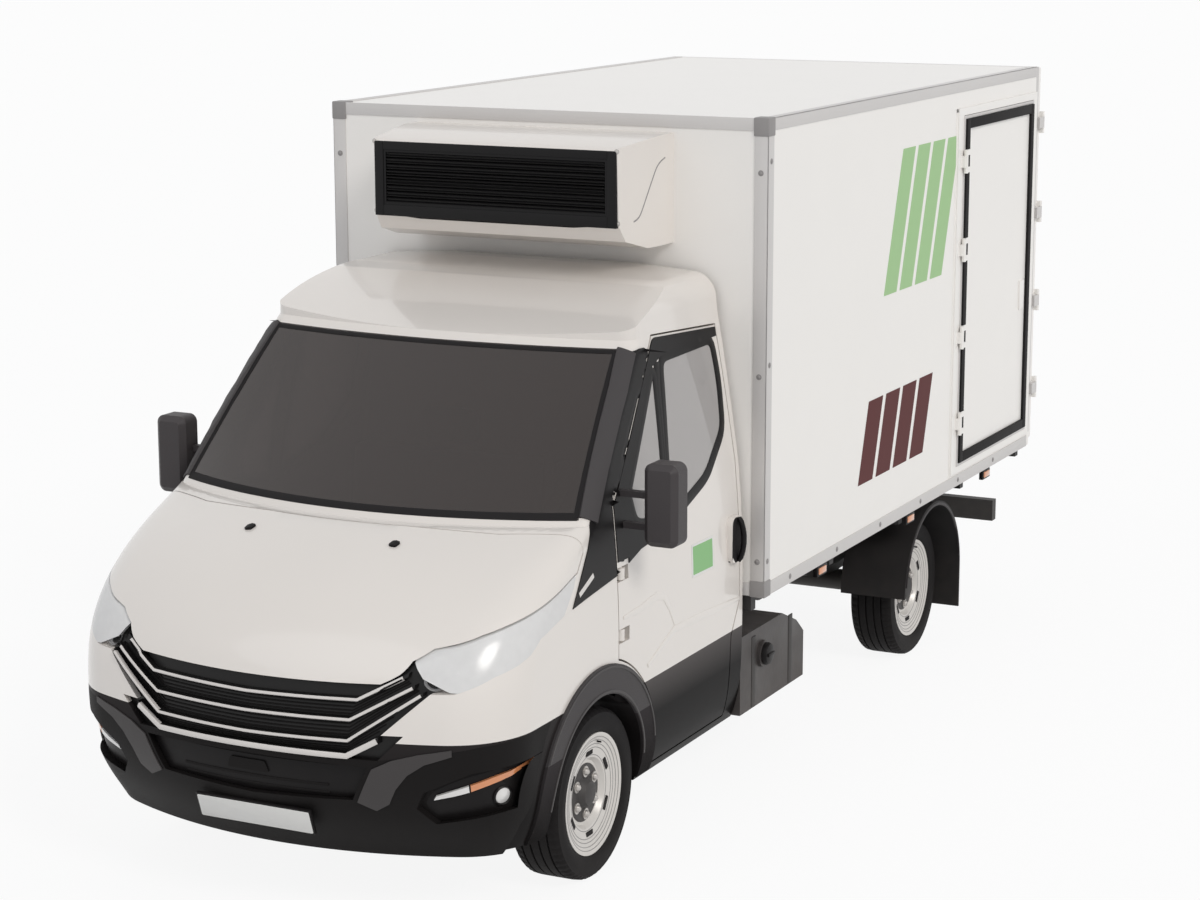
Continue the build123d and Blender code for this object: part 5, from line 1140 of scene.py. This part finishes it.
def dress_cabin():
    """Makes the dash hood and vents"""
    low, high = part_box("dashboard")
    at = sum(corner.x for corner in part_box("steering_wheel")) / 2
    form = Form()
    form.box((at - 0.17, low.y + 0.1, high.z - 0.03), (at + 0.17, low.y + 0.26, high.z + 0.035), 0.02)
    form.box((-0.13, high.y - 0.05, high.z - 0.2), (0.13, high.y + 0.008, high.z - 0.06), 0.006)
    form.place("dash_hood", "dash_plastic", "dash_plastic")
    rows = [Vector((x, high.y + 0.002, high.z - 0.1 - 0.012 * k)) for x in (-0.7, 0.5) for k in range(5)]
    slats("dash_vents", rows, (0.14, 0.012, 0.002), 0.4, "gasket_black")


# Finishes on the packed nodes, and the stage

CAMERA_PLACE = Vector((5.7825, -11.7773, 3.9956))
FLOOR_HALF, FLOOR_LEVEL, FLOOR_GLOW = 90, -0.001, 0.9
WARM, COOL, WHITE = (1.0, 0.975, 0.94), (0.95, 0.97, 1.0), (1, 1, 1, 1)
SUNS = (("key", 1.15, (-0.75, 0.38, -0.64), 18, WARM), ("fill", 0.24, (0.3, 0.75, -0.65), 40, COOL))


def finish_nodes():
    """Puts a finish on every packed node"""
    tree = smooth_tree()
    for finish, nodes in CAD_FINISH.items():
        for node in nodes:
            piece = NODES[node]
            piece.data.materials.clear()
            piece.data.materials.append(FINISH[finish])
            piece.modifiers.new("smooth", "NODES").node_group = tree


def seen_rays(tree):
    """A socket that is 1 for the rays that show the background, and 0 for those that light the object."""
    path = wire(tree, "ShaderNodeLightPath").outputs
    through = calc(tree, "MAXIMUM", path["Is Camera Ray"], path["Is Transmission Ray"])
    return calc(tree, "MAXIMUM", through, path["Is Glossy Ray"])


def floor_material(name, colour):
    """A pale floor that shows nearly white and keeps the object's shadow."""
    material, tree, shader, place = new_material(name)
    drift = remap(tree, noise(tree, place, 0.4, 2.0), ("To Min", 0.86), ("To Max", 0.94))
    feed(tree, shader, [("Roughness", drift), ("Base Color", (*colour, 1))])
    share = calc(tree, "MULTIPLY", seen_rays(tree), FLOOR_GLOW)
    glow = wire(tree, "ShaderNodeEmission", [("Color", WHITE), ("Strength", 1.0)])
    mix = wire(tree, "ShaderNodeMixShader", [(0, share), (1, shader.outputs[0]), (2, glow.outputs[0])])
    feed(tree, tree.nodes["Material Output"], [("Surface", mix.outputs[0])])
    return material


def build_stage():
    """Makes the floor, the light and the photo view"""
    scene = bpy.context.scene
    corners = [(FLOOR_HALF * x, FLOOR_HALF * y, FLOOR_LEVEL) for x, y in ((-1, -1), (1, -1), (1, 1), (-1, 1))]
    floor = new_object("studio_floor", corners, [[0, 1, 2, 3]])
    floor.data.materials.append(floor_material("floor_pale", (0.88, 0.88, 0.88)))

    scene.world = bpy.data.worlds.new("studio")
    scene.world.use_nodes = True
    tree = scene.world.node_tree
    tree.nodes.clear()
    soft = wire(tree, "ShaderNodeBackground", [("Color", (*COOL, 1)), ("Strength", 0.56)])
    white = wire(tree, "ShaderNodeBackground", [("Color", WHITE), ("Strength", 1.0)])
    mix = wire(tree, "ShaderNodeMixShader", [(0, seen_rays(tree)), (1, soft.outputs[0]), (2, white.outputs[0])])
    wire(tree, "ShaderNodeOutputWorld", [("Surface", mix.outputs[0])])

    for name, energy, direction, angle, colour in SUNS:
        lamp = bpy.data.lights.new(name, "SUN")
        lamp.energy, lamp.angle, lamp.color = energy, math.radians(angle), colour
        add_object(name, lamp).rotation_euler = Vector(direction).to_track_quat("-Z", "Y").to_euler()

    view = scene.truck_view
    camera = bpy.data.cameras.new("photo_view")
    camera.sensor_width, camera.lens, camera.clip_end = 36.0, view.lens, 500
    level = math.cos(view.elevation)
    back = Vector((math.sin(view.azimuth) * level, -math.cos(view.azimuth) * level, math.sin(view.elevation)))
    right = Vector((0, 0, 1)).cross(back).normalized()
    matrix = Matrix((right, back.cross(right), back)).transposed().to_4x4()
    matrix.translation = CAMERA_PLACE
    scene.camera = add_object("photo_view", camera)
    scene.camera.matrix_world = matrix @ Matrix.Rotation(view.roll, 4, "Z")
    scene.view_settings.view_transform = "Standard"


# Properties, operators, panel


def colour_setting(name, words, shade):
    return bpy.props.FloatVectorProperty(name=name, description=words, subtype="COLOR", size=3, min=0, max=1,
                                         default=tone(*shade))


def angle_setting(name, words, degrees):
    return bpy.props.FloatProperty(name=name, description=words, subtype="ANGLE", default=math.radians(degrees))


class TruckColours(bpy.types.PropertyGroup):
    cab_paint: colour_setting("Cab paint", "Gloss paint of the cab", (226, 220, 214))
    box_panel: colour_setting("Box panel", "Laminate of the insulated box", (242, 239, 235))
    stripe_high: colour_setting("High stripes", "Upper leaning stripes on the box", (163, 200, 146))
    stripe_low: colour_setting("Low stripes", "Lower leaning stripes on the box", (84, 28, 28))


class TruckView(bpy.types.PropertyGroup):
    lens: bpy.props.FloatProperty(name="Lens", description="Focal length of the photo view", default=82.956, min=20,
                                  max=300, unit="CAMERA")
    azimuth: angle_setting("Azimuth", "Turn of the photo view", 26.4)
    elevation: angle_setting("Elevation", "Rise of the photo view", 11.6)
    roll: angle_setting("Roll", "Roll of the photo view", -0.1)


def step(work):
    """An operator that runs one group of the truck's pieces, named and described like its function."""
    idname = work.__name__.split("_", 1)[1]

    def execute(self, context):
        work()
        return {"FINISHED"}

    return type("TRUCK_OT_" + idname, (bpy.types.Operator,),
                {"bl_idname": "truck." + idname, "bl_label": idname.replace("_", " ").capitalize(),
                 "__doc__": work.__doc__, "execute": execute})


STEPS = [step(work) for work in (
    make_finishes, finish_nodes, build_stage, dress_wheels, dress_grille, dress_bumper, dress_headlamps,
    dress_screen, dress_bonnet, dress_doors, dress_pillars, dress_mouldings, dress_box, dress_stripes,
    dress_side_door, dress_rear, dress_cooler, dress_tank, dress_guards, dress_seats, dress_cabin)]


class TRUCK_PT_panel(bpy.types.Panel):
    bl_label = "Box Truck"
    bl_idname = "TRUCK_PT_panel"
    bl_space_type = "VIEW_3D"
    bl_region_type = "UI"
    bl_category = "Box Truck"

    def draw(self, context):
        for group in (context.scene.truck_colours, context.scene.truck_view):
            for title in type(group).__annotations__:
                self.layout.prop(group, title)
        for item in STEPS:
            self.layout.operator(item.bl_idname)


CLASSES = [TruckColours, TruckView, *STEPS, TRUCK_PT_panel]


def register():
    for item in CLASSES:
        bpy.utils.register_class(item)
    bpy.types.Scene.truck_colours = bpy.props.PointerProperty(type=TruckColours)
    bpy.types.Scene.truck_view = bpy.props.PointerProperty(type=TruckView)


def unregister():
    del bpy.types.Scene.truck_colours
    del bpy.types.Scene.truck_view
    for item in reversed(CLASSES):
        bpy.utils.unregister_class(item)


def main():
    register()
    for item in STEPS:
        getattr(bpy.ops.truck, item.bl_idname.split(".")[1])()


if __name__ == "__main__":
    main()
